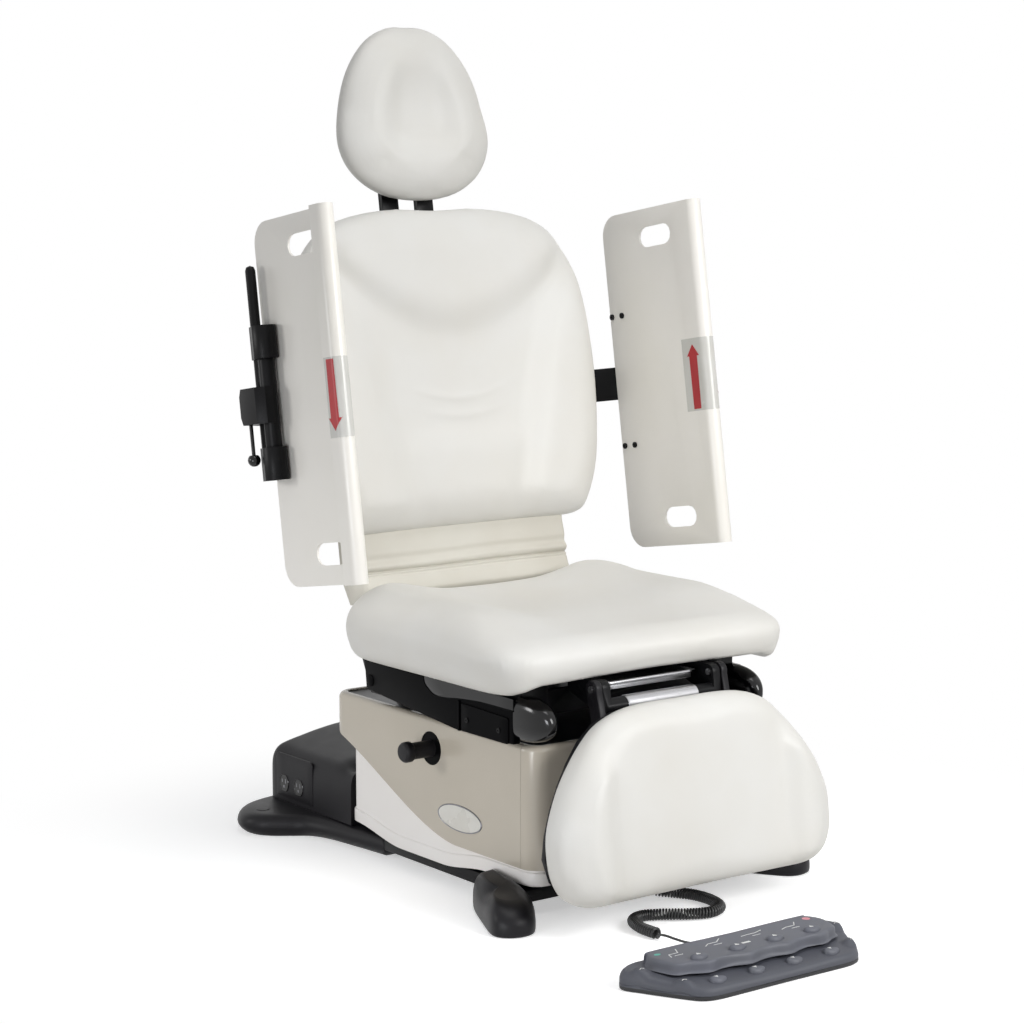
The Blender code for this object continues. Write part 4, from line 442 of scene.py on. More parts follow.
# Curly cord: a preformed coil along the floor from the plug, then a straight lead into the foot control
cord = {
    "radius": 0.00225, "coil": 0.00825, "turns": 88, "perTurn": 12, "rest": 0.0005,
    "plug": (-0.004, -0.3673, 0.028), "plugOut": (0.0, -0.0045, 0.0), "boss": (-0.110, -0.725, 0.008),
    "bossOut": (0.0, 0.0068, 0.0), "leadOut": 0.007,
    "route": [(0.000, -0.386, 0.0245), (0.012, -0.410, 0.0140), (0.036, -0.436, None),
        (0.053, -0.468, None), (0.056, -0.508, None), (0.042, -0.549, None), (0.006, -0.565, None),
        (-0.032, -0.551, None), (-0.072, -0.524, None), (-0.104, -0.511, None), (-0.134, -0.523, None),
        (-0.149, -0.558, None), (-0.151, -0.592, None), (-0.147, -0.622, None)],
    "lead": [(-0.134, -0.660, 0.0066), (-0.116, -0.692, 0.0062)]}


def makeCord():
    floorHeight = cord["coil"] + cord["radius"] + cord["rest"]
    start, boss = Vector(cord["plug"]), Vector(cord["boss"])
    knots = [start + Vector(cord["plugOut"])]
    knots += [Vector((x, y, floorHeight if z is None else z)) for x, y, z in cord["route"]]
    path = evenPoints(curveThrough(knots, 40), cord["turns"] * cord["perTurn"] + 1)
    last = len(path) - 1
    nearEnd = np.minimum(np.arange(last + 1), last - np.arange(last + 1)) / cord["perTurn"]
    opening = cord["coil"] * smoothStep(0.0, 3.5, nearEnd)
    winding = np.cumsum(smoothStep(1.2, 4.5, nearEnd))
    angles = 2.0 * math.pi * cord["turns"] * winding / winding[-1]
    points = [start]
    for step, centre in enumerate(path):
        ahead = (path[min(step + 1, last)] - path[max(step - 1, 0)]).normalized()
        across = ahead.cross(Vector((0.0, 0.0, 1.0))).normalized()
        upward = across.cross(ahead).normalized()
        points.append(centre + across * opening[step] * math.cos(angles[step])
                      + upward * opening[step] * math.sin(angles[step]))
    ahead = (path[-1] - path[-2]).normalized()
    lead = [points[-1], points[-1] + ahead * cord["leadOut"]] + [Vector(point) for point in cord["lead"]]
    lead += [boss + Vector(cord["bossOut"]), boss]
    points += evenPoints(curveThrough(lead, 16), 30)[1:]
    points = [point + Vector((0.0, chairShift, 0.0)) for point in points]
    curve = bpy.data.curves.new("curlyCord", "CURVE")
    curve.dimensions = "3D"
    curve.bevel_depth = cord["radius"]
    curve.bevel_resolution = 3
    curve.use_fill_caps = True
    line = curve.splines.new("POLY")
    line.points.add(len(points) - 1)
    for target, point in zip(line.points, points):
        target.co = (*point, 1.0)
    curve.materials.append(finishes["cordJacket"])
    made = inScene("curlyCord", curve)
    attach(made, "base")
    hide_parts("cord_curl", "cord_lead")


makeCord()


# Pads: rings step in over a rounded edge, front and rear alike
def padBody(shape):
    def half(size, way, steps, relief, fill):
        width, rise = size
        rows = []
        for step in range(1, steps + 1):
            angle = math.pi / 2.0 * step / steps
            height = way * rise * math.sin(angle)
            rows.append((width * (1.0 - math.cos(angle)), shape["level"] + height, step / steps))
        return ringsIn(shape["outline"], shape["centre"], rows, relief, fill)

    upper = half(shape["over"], 1.0, 14, shape["relief"], 26)
    lower = half(shape["under"], -1.0, 10, shape.get("sole"), 16)
    rim = ringsIn(shape["outline"], shape["centre"], [(0.0, shape["level"], 0.0)], None, 0)
    return lofted(lower[::-1] + rim + upper)


stuffing = {
    "quality": 4, "mass": 0.3, "tension_stiffness": 25.0, "compression_stiffness": 25.0,
    "bending_stiffness": 1.0, "use_pressure": True, "uniform_pressure_force": 4.0,
    "vertex_group_mass": "sole"}


# Stuffs a pad: an even skin, air pressure inside with the sole held, and a cap on how far the skin moves
def stuffed(mesh, shape, frames=20, evening=14):
    even = modified(mesh, "REMESH", mode="VOXEL", voxel_size=shape["voxel"])
    even.shade_smooth()
    calm = modified(even, "SMOOTH", factor=0.5, iterations=7)
    obj = inScene("pad", calm)
    held = obj.vertex_groups.new(name="sole")
    held.add([vertex.index for vertex in calm.vertices if vertex.normal.z < -0.55], 1.0, "REPLACE")
    rest = np.array([vertex.co for vertex in calm.vertices])
    cloth = obj.modifiers.new("Stuffing", "CLOTH")
    for name, value in stuffing.items():
        setattr(cloth.settings, name, value)
    cloth.settings.effector_weights.gravity = 0.0
    cloth.point_cache.frame_start = 1
    cloth.point_cache.frame_end = frames
    for moment in range(1, frames + 1):
        scene.frame_set(moment)
    moved = np.array([vertex.co for vertex in shownMesh(obj).vertices]) - rest
    ends = np.array([edge.vertices[:] for edge in calm.edges])
    joined = np.bincount(ends.ravel(), minlength=len(rest))[:, None]
    for _ in range(evening):
        near = np.zeros_like(moved)
        np.add.at(near, ends[:, 0], moved[ends[:, 1]])
        np.add.at(near, ends[:, 1], moved[ends[:, 0]])
        moved = 0.4 * moved + 0.6 * near / joined
    far = np.linalg.norm(moved, axis=1, keepdims=True)
    moved *= np.minimum(1.0, shape["cap"] / np.maximum(far, 1e-9))
    print("  stuffing moved %.1f mm at most before the cap" % (far.max() * 1000.0))
    obj.modifiers.clear()
    obj.vertex_groups.clear()
    calm.vertices.foreach_set("co", (rest + moved).astype(np.float32).ravel())
    calm.update()
    scene.frame_set(1)
    result = calm.copy()
    removeObject(obj)
    return result


# One subdivision, then the fine creases, which move only the front
def finishedPad(name, shape, place, body, node):
    mesh = stuffed(meshFrom(padBody(shape), None, 180.0), shape)
    fineMesh = modified(mesh, "SUBSURF", levels=1, render_levels=1)
    if shape.get("creases"):
        co = np.array([vertex.co for vertex in fineMesh.vertices])
        front = np.clip(np.array([vertex.normal.z for vertex in fineMesh.vertices]), 0.0, 1.0)
        co[:, 2] += shape["creases"](co[:, 0], co[:, 1]) * front
        fineMesh.vertices.foreach_set("co", co.astype(np.float32).ravel())
    fineMesh.transform(place)
    fineMesh.update()
    fineMesh.shade_smooth()
    addPiece(name, fineMesh, "vinyl", body, [node])
    print(name, len(fineMesh.polygons), "faces")


# Seat pad: a broad dished pad with raised sides and a waterfall front
def seatRelief(x, y):
    side = 0.020 * smoothStep(0.10, 0.25, np.abs(x)) * smoothStep(-0.434, -0.20, y)
    front = -0.016 * smoothStep(0.20, 0.434, -y)
    rear = 0.010 * smoothStep(-0.08, 0.125, y)
    return side + front + rear - 0.010 * bump(x, 0.0, 0.16) * bump(y, -0.16, 0.20)


def seatSole(x, y):
    return -0.018 * smoothStep(0.248, 0.300, np.abs(x))


seatHalf, seatFront, seatRear = 0.3355, 0.4345, 0.125
seatPad = {
    "outline": mirroredOutline([(0.0, seatRear), (seatHalf * 0.72, seatRear),
        (seatHalf - 0.040, seatRear - 0.012), (seatHalf - 0.008, seatRear - 0.055),
        (seatHalf, seatRear - 0.150), (seatHalf, -seatFront + 0.190),
        (seatHalf - 0.005, -seatFront + 0.075), (seatHalf - 0.030, -seatFront + 0.020),
        (seatHalf - 0.085, -seatFront), (seatHalf * 0.36, -seatFront + 0.005), (0.0, -seatFront + 0.010)],
        240),
    "centre": (0.0, (seatRear - seatFront) / 2.0),
    "level": 0.455, "over": (0.075, 0.047), "under": (0.030, 0.0398), "relief": seatRelief,
    "sole": seatSole, "voxel": 0.0068, "cap": 0.003, "fill": 0.8}
finishedPad("seatPad", seatPad, seatFrame, "seat", "seat_cushion")


# Back pad: a shoulder roll above a curved crease, side bolsters and a lumbar pad
def backRelief(x, y):
    crease = 0.531 + 1.93 * x ** 2
    shoulder = 0.015 * smoothStep(-0.050, 0.055, y - crease)
    inner = 0.115 + 0.26 * np.clip(y - 0.18, 0.0, 0.32)
    side = 0.018 * smoothStep(inner - 0.028, inner + 0.052, np.abs(x)) * smoothStep(0.02, 0.14, crease - y)
    lumbar = 0.008 * smoothStep(0.345, 0.285, y)
    lumbar = lumbar * (1.0 - smoothStep(inner - 0.035, inner + 0.010, np.abs(x)))
    return shoulder + side + lumbar - 0.008


def backCreases(x, y):
    crease = 0.531 + 1.93 * x ** 2
    line = -0.0018 * bump(y - crease, -0.012, 0.026)
    high = 0.0016 * bump(y - 0.389 - 1.9 * x ** 2, 0.0, 0.008) * bump(x, -0.01, 0.10)
    low = 0.0014 * bump(y - 0.3545 - 1.7 * x ** 2, 0.0, 0.008) * bump(x, 0.0, 0.08)
    return line + high + low


backHalf, backTop, backLow = 0.354, 0.759, 0.142
backPad = {
    "outline": mirroredOutline([(0.0, backTop - 0.003), (0.090, backTop), (0.170, backTop - 0.008),
        (0.236, backTop - 0.026), (0.284, backTop - 0.060), (0.322, backTop - 0.118),
        (backHalf - 0.009, backTop - 0.205), (backHalf, backTop - 0.320),
        (backHalf - 0.004, backTop - 0.430), (backHalf - 0.018, backLow + 0.098),
        (backHalf - 0.046, backLow + 0.032), (0.272, backLow + 0.002), (0.150, backLow), (0.0, backLow)],
        260),
    "centre": (0.0, (backTop + backLow) / 2.0),
    "level": 0.0, "over": (0.078, 0.045), "under": (0.034, 0.0463), "relief": backRelief,
    "creases": backCreases, "voxel": 0.0066, "cap": 0.003, "fill": 0.8}
finishedPad("backPad", backPad, backFrame @ facing, "back", "back_cushion")


# Head pad: an egg with a cradle that is open at the top
def headRelief(x, y):
    wide = 0.050 + 0.026 * smoothStep(1.06, 0.93, y)
    across = 1.0 - smoothStep(wide * 0.45, wide * 1.40, np.abs(x))
    along = smoothStep(0.848, 0.912, y) * (1.0 - smoothStep(0.95, 1.090, y))
    return -0.019 * across * along


# Room for the posts when the head pad tilts
def headSole(x, y):
    return 0.003 * (1.0 - smoothStep(0.075, 0.100, np.abs(x))) * smoothStep(0.860, 0.815, y)


headHalf, headLow, headHeight = 0.1725, 0.776, 0.339
headTop = headLow + headHeight
headPad = {
    "outline": mirroredOutline([(0.0, headLow), (headHalf * 0.48, headLow + 0.012),
        (headHalf * 0.84, headLow + 0.052), (headHalf, headLow + 0.110),
        (headHalf * 0.95, headLow + 0.185), (headHalf * 0.80, headLow + 0.255),
        (headHalf * 0.55, headTop - 0.030), (headHalf * 0.26, headTop - 0.004), (0.0, headTop)], 180),
    "centre": (0.0, headLow + headHeight * 0.46), "level": -0.036, "over": (0.094, 0.0405),
    "under": (0.058, 0.0413), "relief": headRelief, "sole": headSole, "voxel": 0.005, "cap": 0.0025,
    "fill": 0.85}
finishedPad("headPad", headPad, backFrame @ facing, "head", "headrest_cushion")


# Foot pad: a flat middle between two raised side bolsters
def footRelief(x, y):
    step = smoothStep(0.184, 0.232, np.abs(x)) - 0.30 * smoothStep(0.236, 0.300, np.abs(x))
    return 0.017 * step * smoothStep(-0.035, -0.120, y) - 0.007


padHalf, padHeight = 0.3115, 0.337
footPad = {
    "outline": mirroredOutline([(0.0, -0.001), (padHalf * 0.36, -0.003), (padHalf * 0.57, -0.021),
        (padHalf * 0.71, -0.056), (padHalf * 0.848, -0.108), (padHalf * 0.928, -0.150),
        (padHalf * 0.988, -0.198), (padHalf, -padHeight + 0.096), (padHalf * 0.985, -padHeight + 0.056),
        (padHalf * 0.925, -padHeight + 0.022), (padHalf * 0.82, -padHeight + 0.004),
        (padHalf * 0.68, -padHeight), (padHalf * 0.34, -padHeight), (0.0, -padHeight)], 200),
    "centre": (0.0, -padHeight * 0.56), "level": 0.0, "over": (0.052, 0.044), "under": (0.026, 0.0348),
    "relief": footRelief, "voxel": 0.0055, "cap": 0.003, "fill": 0.85}
finishedPad("footPad", footPad, footFrame @ facing, "foot", "foot_cushion")


# Lumbar apron: a soft folded panel between the back pad and the seat
apron = {
    "half": 0.255, "low": 0.016, "high": 0.1500, "front": 0.017, "rear": -0.0465, "columns": 96,
    "rows": 120}


# A plain panel above, one soft roll, two creases, and a strip below that leans forward
def apronFace(x, up):
    sway = 0.0016 * np.sin(x * 9.0 + 0.6) + 0.0007 * np.sin(x * 23.0)
    ends = smoothStep(0.10, 0.24, np.abs(x))
    roll = (0.0020 + 0.0020 * ends) * bump(up, 0.0840 + sway, 0.0060)
    dip = 0.0026 * bump(up, 0.0965 + sway, 0.0070)
    creases = 0.0052 * bump(up, 0.0735 + 0.4 * sway, 0.0026) + 0.0016 * bump(up, 0.0660 + 0.3 * sway, 0.0016)
    edge = smoothStep(0.0, 0.018, apron["half"] - np.abs(x))
    face = apron["front"] - 0.0055 * smoothStep(0.036, 0.070, up) - 0.0035 * smoothStep(0.105, 0.140, up)
    face = face + 0.0012 * smoothStep(0.054, 0.036, up) - 0.014 * smoothStep(0.036, 0.012, up)
    return (face + roll - dip - creases) * edge - 0.014 * (1.0 - edge)


def makeApron():
    low, high, rear = apron["low"], apron["high"], -apron["rear"]
    rings = []
    for x in np.linspace(-apron["half"], apron["half"], apron["columns"]):
        face = [(x, -float(apronFace(x, up)), up) for up in np.linspace(low, high, apron["rows"])]
        rings.append(face + [(x, rear, high), (x, rear, low + 0.050), (x, 0.024, low)])
    mesh = meshFrom(lofted(rings), backFrame, 60.0)
    # the apron's colour is darkened as painted shade of its recess
    addPiece("lumbarApron", mesh, "shadedApronVinyl", "back", ["lumbar_apron"])
    print("lumbarApron", len(mesh.polygons), "faces")


makeApron()


# Rounded copies: a CAD solid merged to clean faces, with its hard edges rounded
def roundedCopy(node, name, width, segments=2, finish=None):
    body = bmesh.new()
    body.from_mesh(frame["nodes"][node].data)
    bmesh.ops.remove_doubles(body, verts=body.verts, dist=2e-6)
    bmesh.ops.dissolve_limit(body, angle_limit=math.radians(0.6), verts=body.verts, edges=body.edges)
    mesh = bpy.data.meshes.new(name)
    body.to_mesh(mesh)
    body.free()
    if mesh.attributes.get("custom_normal"):
        mesh.attributes.remove(mesh.attributes["custom_normal"])
    rounded = modified(mesh, "BEVEL", width=width, segments=segments, limit_method="ANGLE",
                       angle_limit=math.radians(32.0), use_clamp_overlap=True)
    slot = nodeSlot[node]
    addPiece(name, smoothed(rounded, 50.0), finish or slotFinish[slot], nodeBody[node], [node])


easedPairs = {
    "rail_panel": ("railPanel", 0.0012, 3), "side_cover": ("sideCover", 0.0014, 2, "satinBlack"),
    "rail_bracket": ("railBracket", 0.0016), "rail_hinge": ("railHinge", 0.0010),
    "rail_pivot_tube": ("railTube", 0.0008), "release_knob": ("releaseKnob", 0.0004)}
easedNodes = {
    "back_frame": ("backFramePlate", 0.0030, 3), "seat_frame": ("seatFrame", 0.0008),
    "base_frame": ("basePlate", 0.0020), "headrest_plate": ("headPlate", 0.0012),
    "headrest_post": ("headPost", 0.0016), "headrest_guide": ("headGuide", 0.0016),
    "foot_board": ("footBoard", 0.0012), "side_handle": ("sideHandle", 0.0014, 3),
    "treatment_pan": ("drainPan", 0.0005), "carriage_plate": ("carriagePlate", 0.0008),
    "middle_shroud": ("middleCover", 0.0008)}
for node, (name, *settings) in easedPairs.items():
    for side, sign in bothSides:
        roundedCopy(node + "_" + side.lower(), name + side, *settings)
for node, settings in easedNodes.items():
    roundedCopy(node, *settings)
print("rounded copies", 2 * len(easedPairs) + len(easedNodes))


# Feet: textured mouldings with full round edges
feet = {
    "inner": 0.2283, "spread": 0.360, "rear": -0.238, "front": -0.462,
    "paddle": [(0.0, 0.0), (0.30, 0.03), (0.55, 0.23), (0.81, 0.54), (1.0, 0.81), (0.955, 0.93),
        (0.77, 1.0), (0.54, 0.985), (0.32, 0.84), (0.09, 0.62), (0.0, 0.40)],
    "paddleEdge": [(0.005, 0.0), (0.001, 0.003), (0.0, 0.009), (0.0, 0.020), (0.001, 0.030),
        (0.004, 0.039), (0.009, 0.047), (0.016, 0.054), (0.024, 0.0595), (0.033, 0.063), (0.044, 0.0655)],
    "rearHalf": 0.350, "rearEnd": 0.525, "rearSeat": 0.0983,
    "rearShape": [(0.69, 0.325), (0.72, 0.255), (0.77, 0.207), (0.86, 0.180), (0.955, 0.152),
        (1.0, 0.118), (0.965, 0.076), (0.87, 0.037), (0.70, 0.013), (0.40, 0.001), (0.0, 0.0)],
    "rearEdge": [(0.020, 0.0), (0.012, 0.003), (0.005, 0.0085), (0.0012, 0.0140), (0.0, 0.0185),
        (0.0008, 0.0240), (0.003, 0.0295), (0.007, 0.0345), (0.013, 0.0385), (0.021, 0.0410),
        (0.031, 0.0420)],
    "plug": (0.300, 0.606, 0.013),
    "plugEdge": [(0.0, 0.0405), (0.0, 0.0421), (0.0004, 0.0425), (0.0012, 0.0427)]}


def makeFeet():
    reach = feet["spread"] - feet["inner"]
    length = feet["front"] - feet["rear"]

    def slope(x, y):
        forward = smoothStep(feet["rear"] + length * 0.45, feet["front"], y)
        dent = bump(np.abs(x), feet["inner"] + reach * 0.62, 0.030) * bump(y, -0.365, 0.034)
        return -0.016 * forward - 0.006 * dent

    for side, sign in bothSides:
        knots = [(sign * (feet["inner"] + reach * x), feet["rear"] + length * y, 0.0)
                 for x, y in feet["paddle"]]
        outline = evenPoints(curveThrough(knots, 20), 110)
        centre = (sign * (feet["inner"] + reach * 0.50), feet["rear"] + length * 0.52)
        mesh = meshFrom(mouldedBody(outline, centre, feet["paddleEdge"], slope, 14), seatFrame, 70.0)
        addPiece("frontFoot" + side, mesh, "texturedBlack", "base", ["front_foot_" + side.lower()])
    wide, end = feet["rearHalf"], feet["rearEnd"]
    knots = [(0.228, feet["rearSeat"])] + [(wide * x, end - y) for x, y in feet["rearShape"]]
    side = evenPoints(curveThrough([(x, y, 0.0) for x, y in knots], 20), 90)
    outline = side + [Vector((-point.x, point.y, 0.0)) for point in reversed(side[:-1])]
    middle = (0.0, (feet["rearSeat"] + end) / 2.0)
    mesh = meshFrom(mouldedBody(outline, middle, feet["rearEdge"]), seatFrame, 70.0)
    addPiece("rearFoot", mesh, "texturedBlack", "base", ["rear_base_cover"])
    x, y, radius = feet["plug"]
    for side, sign in bothSides:
        cap = mouldedBody(ellipse(0.0, 0.0, radius, radius, 48), (0.0, 0.0), feet["plugEdge"], None, 4)
        mesh = meshFrom(cap, Matrix.Translation((sign * x, y, 0.0)))
        addPiece("footCap" + side, mesh, "texturedBlack", "base")


makeFeet()


# Covers: the plan of a lift cover at an offset, as its two sides and rear, its front, or all of it
def coverPath(shape, offset, part):
    half, front, rear, corner = (shape[name] + offset for name in ("half", "front", "rear", "corner"))
    inner, back, ahead = half - corner, rear - corner, -front + corner
    run = [(rear + front - 2.0 * corner) * step / 60.0 for step in range(60)]
    leftSide = [(half, ahead + step) for step in run]
    rightSide = [(-half, back - step) for step in run[1:]] + [(-half, ahead)]
    rearCorners = arc(inner, back, corner, 0.0, 9.0, 11) + arc(-inner, back, corner, 90.0, 9.0, 11)
    walls = leftSide + rearCorners + rightSide
    face = arc(-inner, ahead, corner, 180.0, 9.0, 11) + arc(inner, ahead, corner, 270.0, 9.0, 11)
    return {"sides": walls, "face": face, "all": walls + face[1:-1]}[part]


# Rows of a profile are an offset outward and a height, first from the lower edge and then from the floor
def coverWall(shape, part):
    plan = coverPath(shape, 0.0, part)
    rows = [(*row, 1.0) for row in shape["fromEdge"]] + [(*row, 0.0) for row in shape["fromFloor"]]
    loops = []
    for offset, height, share in rows:
        path = coverPath(shape, offset, part)
        if part == "face":
            for end in (0, -1):
                path[end] = (path[end][0], path[end][1] - 0.0008)
        loops.append([(x, y, share * shape["edge"](under[1]) + height) for (x, y), under in zip(path, plan)])
    return lofted([list(ring) for ring in zip(*loops)], closed=part == "all")


def sweptEdge(y):
    share = (y + 0.150) / 0.402
    return 0.080 + 0.148 * (0.45 * float(smoothStep(0.0, 1.0, share)) + 0.55 * max(share, 0.0) ** 1.4)


def lowerEdge(y):
    return 0.034 + 0.022 * float(smoothStep(0.03, 0.188, y)) + 0.016 * float(smoothStep(0.10, 0.24, -y))


upperCover = {
    "half": 0.2414, "front": 0.3806, "rear": 0.252, "corner": 0.0356, "edge": sweptEdge,
    "fromEdge": [(-0.0040, 0.0), (-0.0012, 0.0), (-0.0003, 0.0004), (0.0, 0.0014)],
    "fromFloor": [(0.0, 0.2890), (-0.0006, 0.2926), (-0.0022, 0.2958), (-0.0046, 0.2982),
        (-0.0077, 0.2996), (-0.0110, 0.3000), (-0.0155, 0.3000), (-0.0164, 0.2994), (-0.0166, 0.2973),
        (-0.0040, 0.2973)]}
lowerCover = {
    "half": 0.2328, "front": 0.372, "rear": 0.203, "corner": 0.027, "edge": lowerEdge,
    "fromEdge": [(-0.0045, 0.0), (0.0020, 0.0), (0.0030, 0.0008), (0.0033, 0.0215), (0.0029, 0.0232),
        (0.0018, 0.0243), (0.0004, 0.0247), (0.0, 0.0256)],
    "fromFloor": [(0.0, 0.2680), (-0.0006, 0.2685), (-0.0045, 0.2685)]}
for name, shape, part, finish, body, node in (
        ("upperCover", upperCover, "sides", "beigeAbs", "carriage", "upper_shroud"),
        ("upperFrontCover", upperCover, "face", "beigeAbs", "carriage", "upper_front_cover"),
        ("lowerCover", lowerCover, "all", "paleAbs", "base", "lower_shroud")):
    addPiece(name, meshFrom(coverWall(shape, part), seatFrame, 35.0), finish, body, [node])


# Handle socket and the bare oval badge on the cover's side
socket = turned([(0.0, -0.2400), (0.0310, -0.2400), (0.0310, -0.2420), (0.0304, -0.2424), (0.0296, -0.2424),
                 (0.0288, -0.2416), (0.0, -0.2416)])
addPiece("handleSocket", meshFrom(socket, onSide(1.0, 0.0, 0.115, 0.246)), "satinBlack", "carriage")
badge = {
    "y": 0.026, "z": 0.133, "long": 0.067, "high": 0.0245, "face": 0.2414,
    "rim": [(0.0, -0.001), (0.0, 0.0010), (0.0006, 0.0017), (0.0016, 0.0019), (0.0026, 0.0016),
        (0.0030, 0.0008)],
    "plate": [(0.0, 0.0), (0.0, 0.0012), (0.002, 0.0016), (0.010, 0.0020)]}


def makeBadge():
    place = onSide(-1.0, badge["face"], badge["y"], badge["z"])
    rim = ellipse(0.0, 0.0, badge["long"], badge["high"], 96)
    edge = mouldedBody(rim, (0.0, 0.0), badge["rim"], None, 6)
    addPiece("badgeRim", meshFrom(edge, place), "zincScrew", "carriage")

    def crown(x, y):
        return 0.0006 * (1.0 - (x / badge["long"]) ** 2)

    face = mouldedBody([(x * 0.955, y * 0.90) for x, y in rim], (0.0, 0.0), badge["plate"], crown, 10)
    addPiece("badgeFace", meshFrom(face, place), "badgePlate", "carriage")


makeBadge()


# Power box: a rounded housing with a plain panel of two round outlets
box = {
    "half": 0.2325, "low": 0.0423, "front": 0.2033, "end": 0.505, "round": 0.032,
    "section": [(0.2325, 0.0423), (0.2325, 0.080), (0.2322, 0.112), (0.2305, 0.128), (0.2255, 0.140),
        (0.2160, 0.1490), (0.2000, 0.1545), (0.1650, 0.1620), (0.120, 0.1705), (0.070, 0.1765),
        (0.0, 0.178)],
    "panel": (0.529, 0.661, 0.052, 0.139),
    "panelEdge": [(0.0, -0.002), (0.0, 0.0004), (0.0005, 0.0010), (0.0014, 0.0012)],
    "outlets": ((0.632, 0.080), (0.579, 0.080)),
    "outletHalf": 0.0165, "outletBulge": 0.0190,
    "outletEdge": [(0.0, 0.0), (0.0, 0.0018), (0.0007, 0.0026), (0.0018, 0.0026), (0.0026, 0.0019),
        (0.0036, 0.0019)],
    "slots": ((-0.0060, 0.004, 0.0022, 0.0085), (0.0060, 0.004, 0.0022, 0.0070),
        (0.0, -0.0070, 0.0045, 0.0050))}


def makePowerBox():
    half = evenPoints(curveThrough([(x, z, 0.0) for x, z in box["section"]], 12), 60)
    whole = [(point.x, point.y) for point in half] + [(-point.x, point.y) for point in reversed(half[:-1])]
    top = box["section"][-1][1] - box["low"]
    straight = box["end"] - box["round"] - box["front"]
    places = [(box["front"] + straight * step / 20.0, 0.0) for step in range(20)]
    for turn in np.linspace(0.0, math.pi / 2.0, 14):
        places.append((box["end"] - box["round"] * (1.0 - math.sin(turn)),
                       box["round"] * (1.0 - math.cos(turn))))
    rings = []
    for y, inset in places:
        ring = []
        for x, z in whole:
            # a scoop beside the lift cover
            scoop = 0.016 * float(bump(y, box["front"] + 0.020, 0.022) * bump(abs(x), 0.200, 0.020))
            ring.append((x * (1.0 - 0.55 * inset / box["half"]), y,
                         box["low"] + (z - box["low"]) * (1.0 - inset / top) - scoop * float(z > 0.13)))
        rings.append(ring)
    addPiece("powerBox", meshFrom(lofted(rings), seatFrame, 60.0), "texturedBlack", "base", ["power_box"])
    front, rear, low, high = box["panel"]
    corners = []
    for y, z, radius, start in (
            (rear - 0.010, high - 0.010, 0.010, 0.0), (front + 0.010, high - 0.010, 0.010, 90.0),
            (front + 0.004, low + 0.004, 0.004, 180.0), (rear - 0.004, low + 0.004, 0.004, 270.0)):
        corners += arc(y, z, radius, start, 15.0, 7)
    toSide = onSide(-1.0, box["half"])
    plate = mouldedBody(corners, ((front + rear) / 2.0, (low + high) / 2.0), box["panelEdge"], None, 3)
    addPiece("outletPanel", meshFrom(plate, toSide), "texturedBlack", "base", ["outlet_panel"])
    faces, slots = bmesh.new(), bmesh.new()
    half, bulge = box["outletHalf"], box["outletBulge"]
    for y, z in box["outlets"]:
        rim = [(y + half * math.cos(turn), z + float(np.clip(bulge * math.sin(turn), -half, half)))
               for turn in turns(48)]
        addTo(faces, mouldedBody(rim, (y, z), box["outletEdge"], None, 3))
        for across, up, wide, tall in box["slots"]:
            square = [(y + across + wide / 2 * a, z + up + tall / 2 * b)
                      for a, b in ((-1, -1), (1, -1), (1, 1), (-1, 1))]
            addTo(slots, mouldedBody(square, (y + across, z + up), [(0.0, 0.0010), (0.0, 0.0021)], None, 1))
    addPiece("outletFaces", meshFrom(faces, toSide), "glossBlack", "base")
    addPiece("outletSlots", meshFrom(slots, toSide), "zincScrew", "base")


makePowerBox()
print("base and covers")


# Noses: polished domes at the front of the side covers
nose = {
    "x": 0.237, "half": 0.025, "rear": -0.1593, "long": 0.084, "low": 0.310, "high": 0.0795,
    "square": 0.68}


def makeNoses():
    def squared(value):
        return math.copysign(abs(value) ** nose["square"], value)

    for side, sign in bothSides:
        rings = []
        for place in np.linspace(0.0, 1.0, 26):
            share = math.sin(place * math.pi / 2.0)
            swell = max(1.0 - share ** 2.5, 0.0) ** 0.5
            wide = nose["half"] * (0.25 + 0.75 * swell) * swell ** 0.3
            ring = [(sign * nose["x"] + wide * squared(math.cos(turn)), nose["rear"] - nose["long"] * share,
                     nose["low"] + nose["high"] * (0.46 + (0.5 * squared(math.sin(turn)) + 0.04) * swell))
                    for turn in turns(48)]
            rings.append(ring[:1] if swell == 0.0 else ring)
        mesh = meshFrom(lofted(rings), None, 70.0)
        addPiece("nose" + side, mesh, "glossBlack", "seat", ["nose_" + side.lower()])


makeNoses()


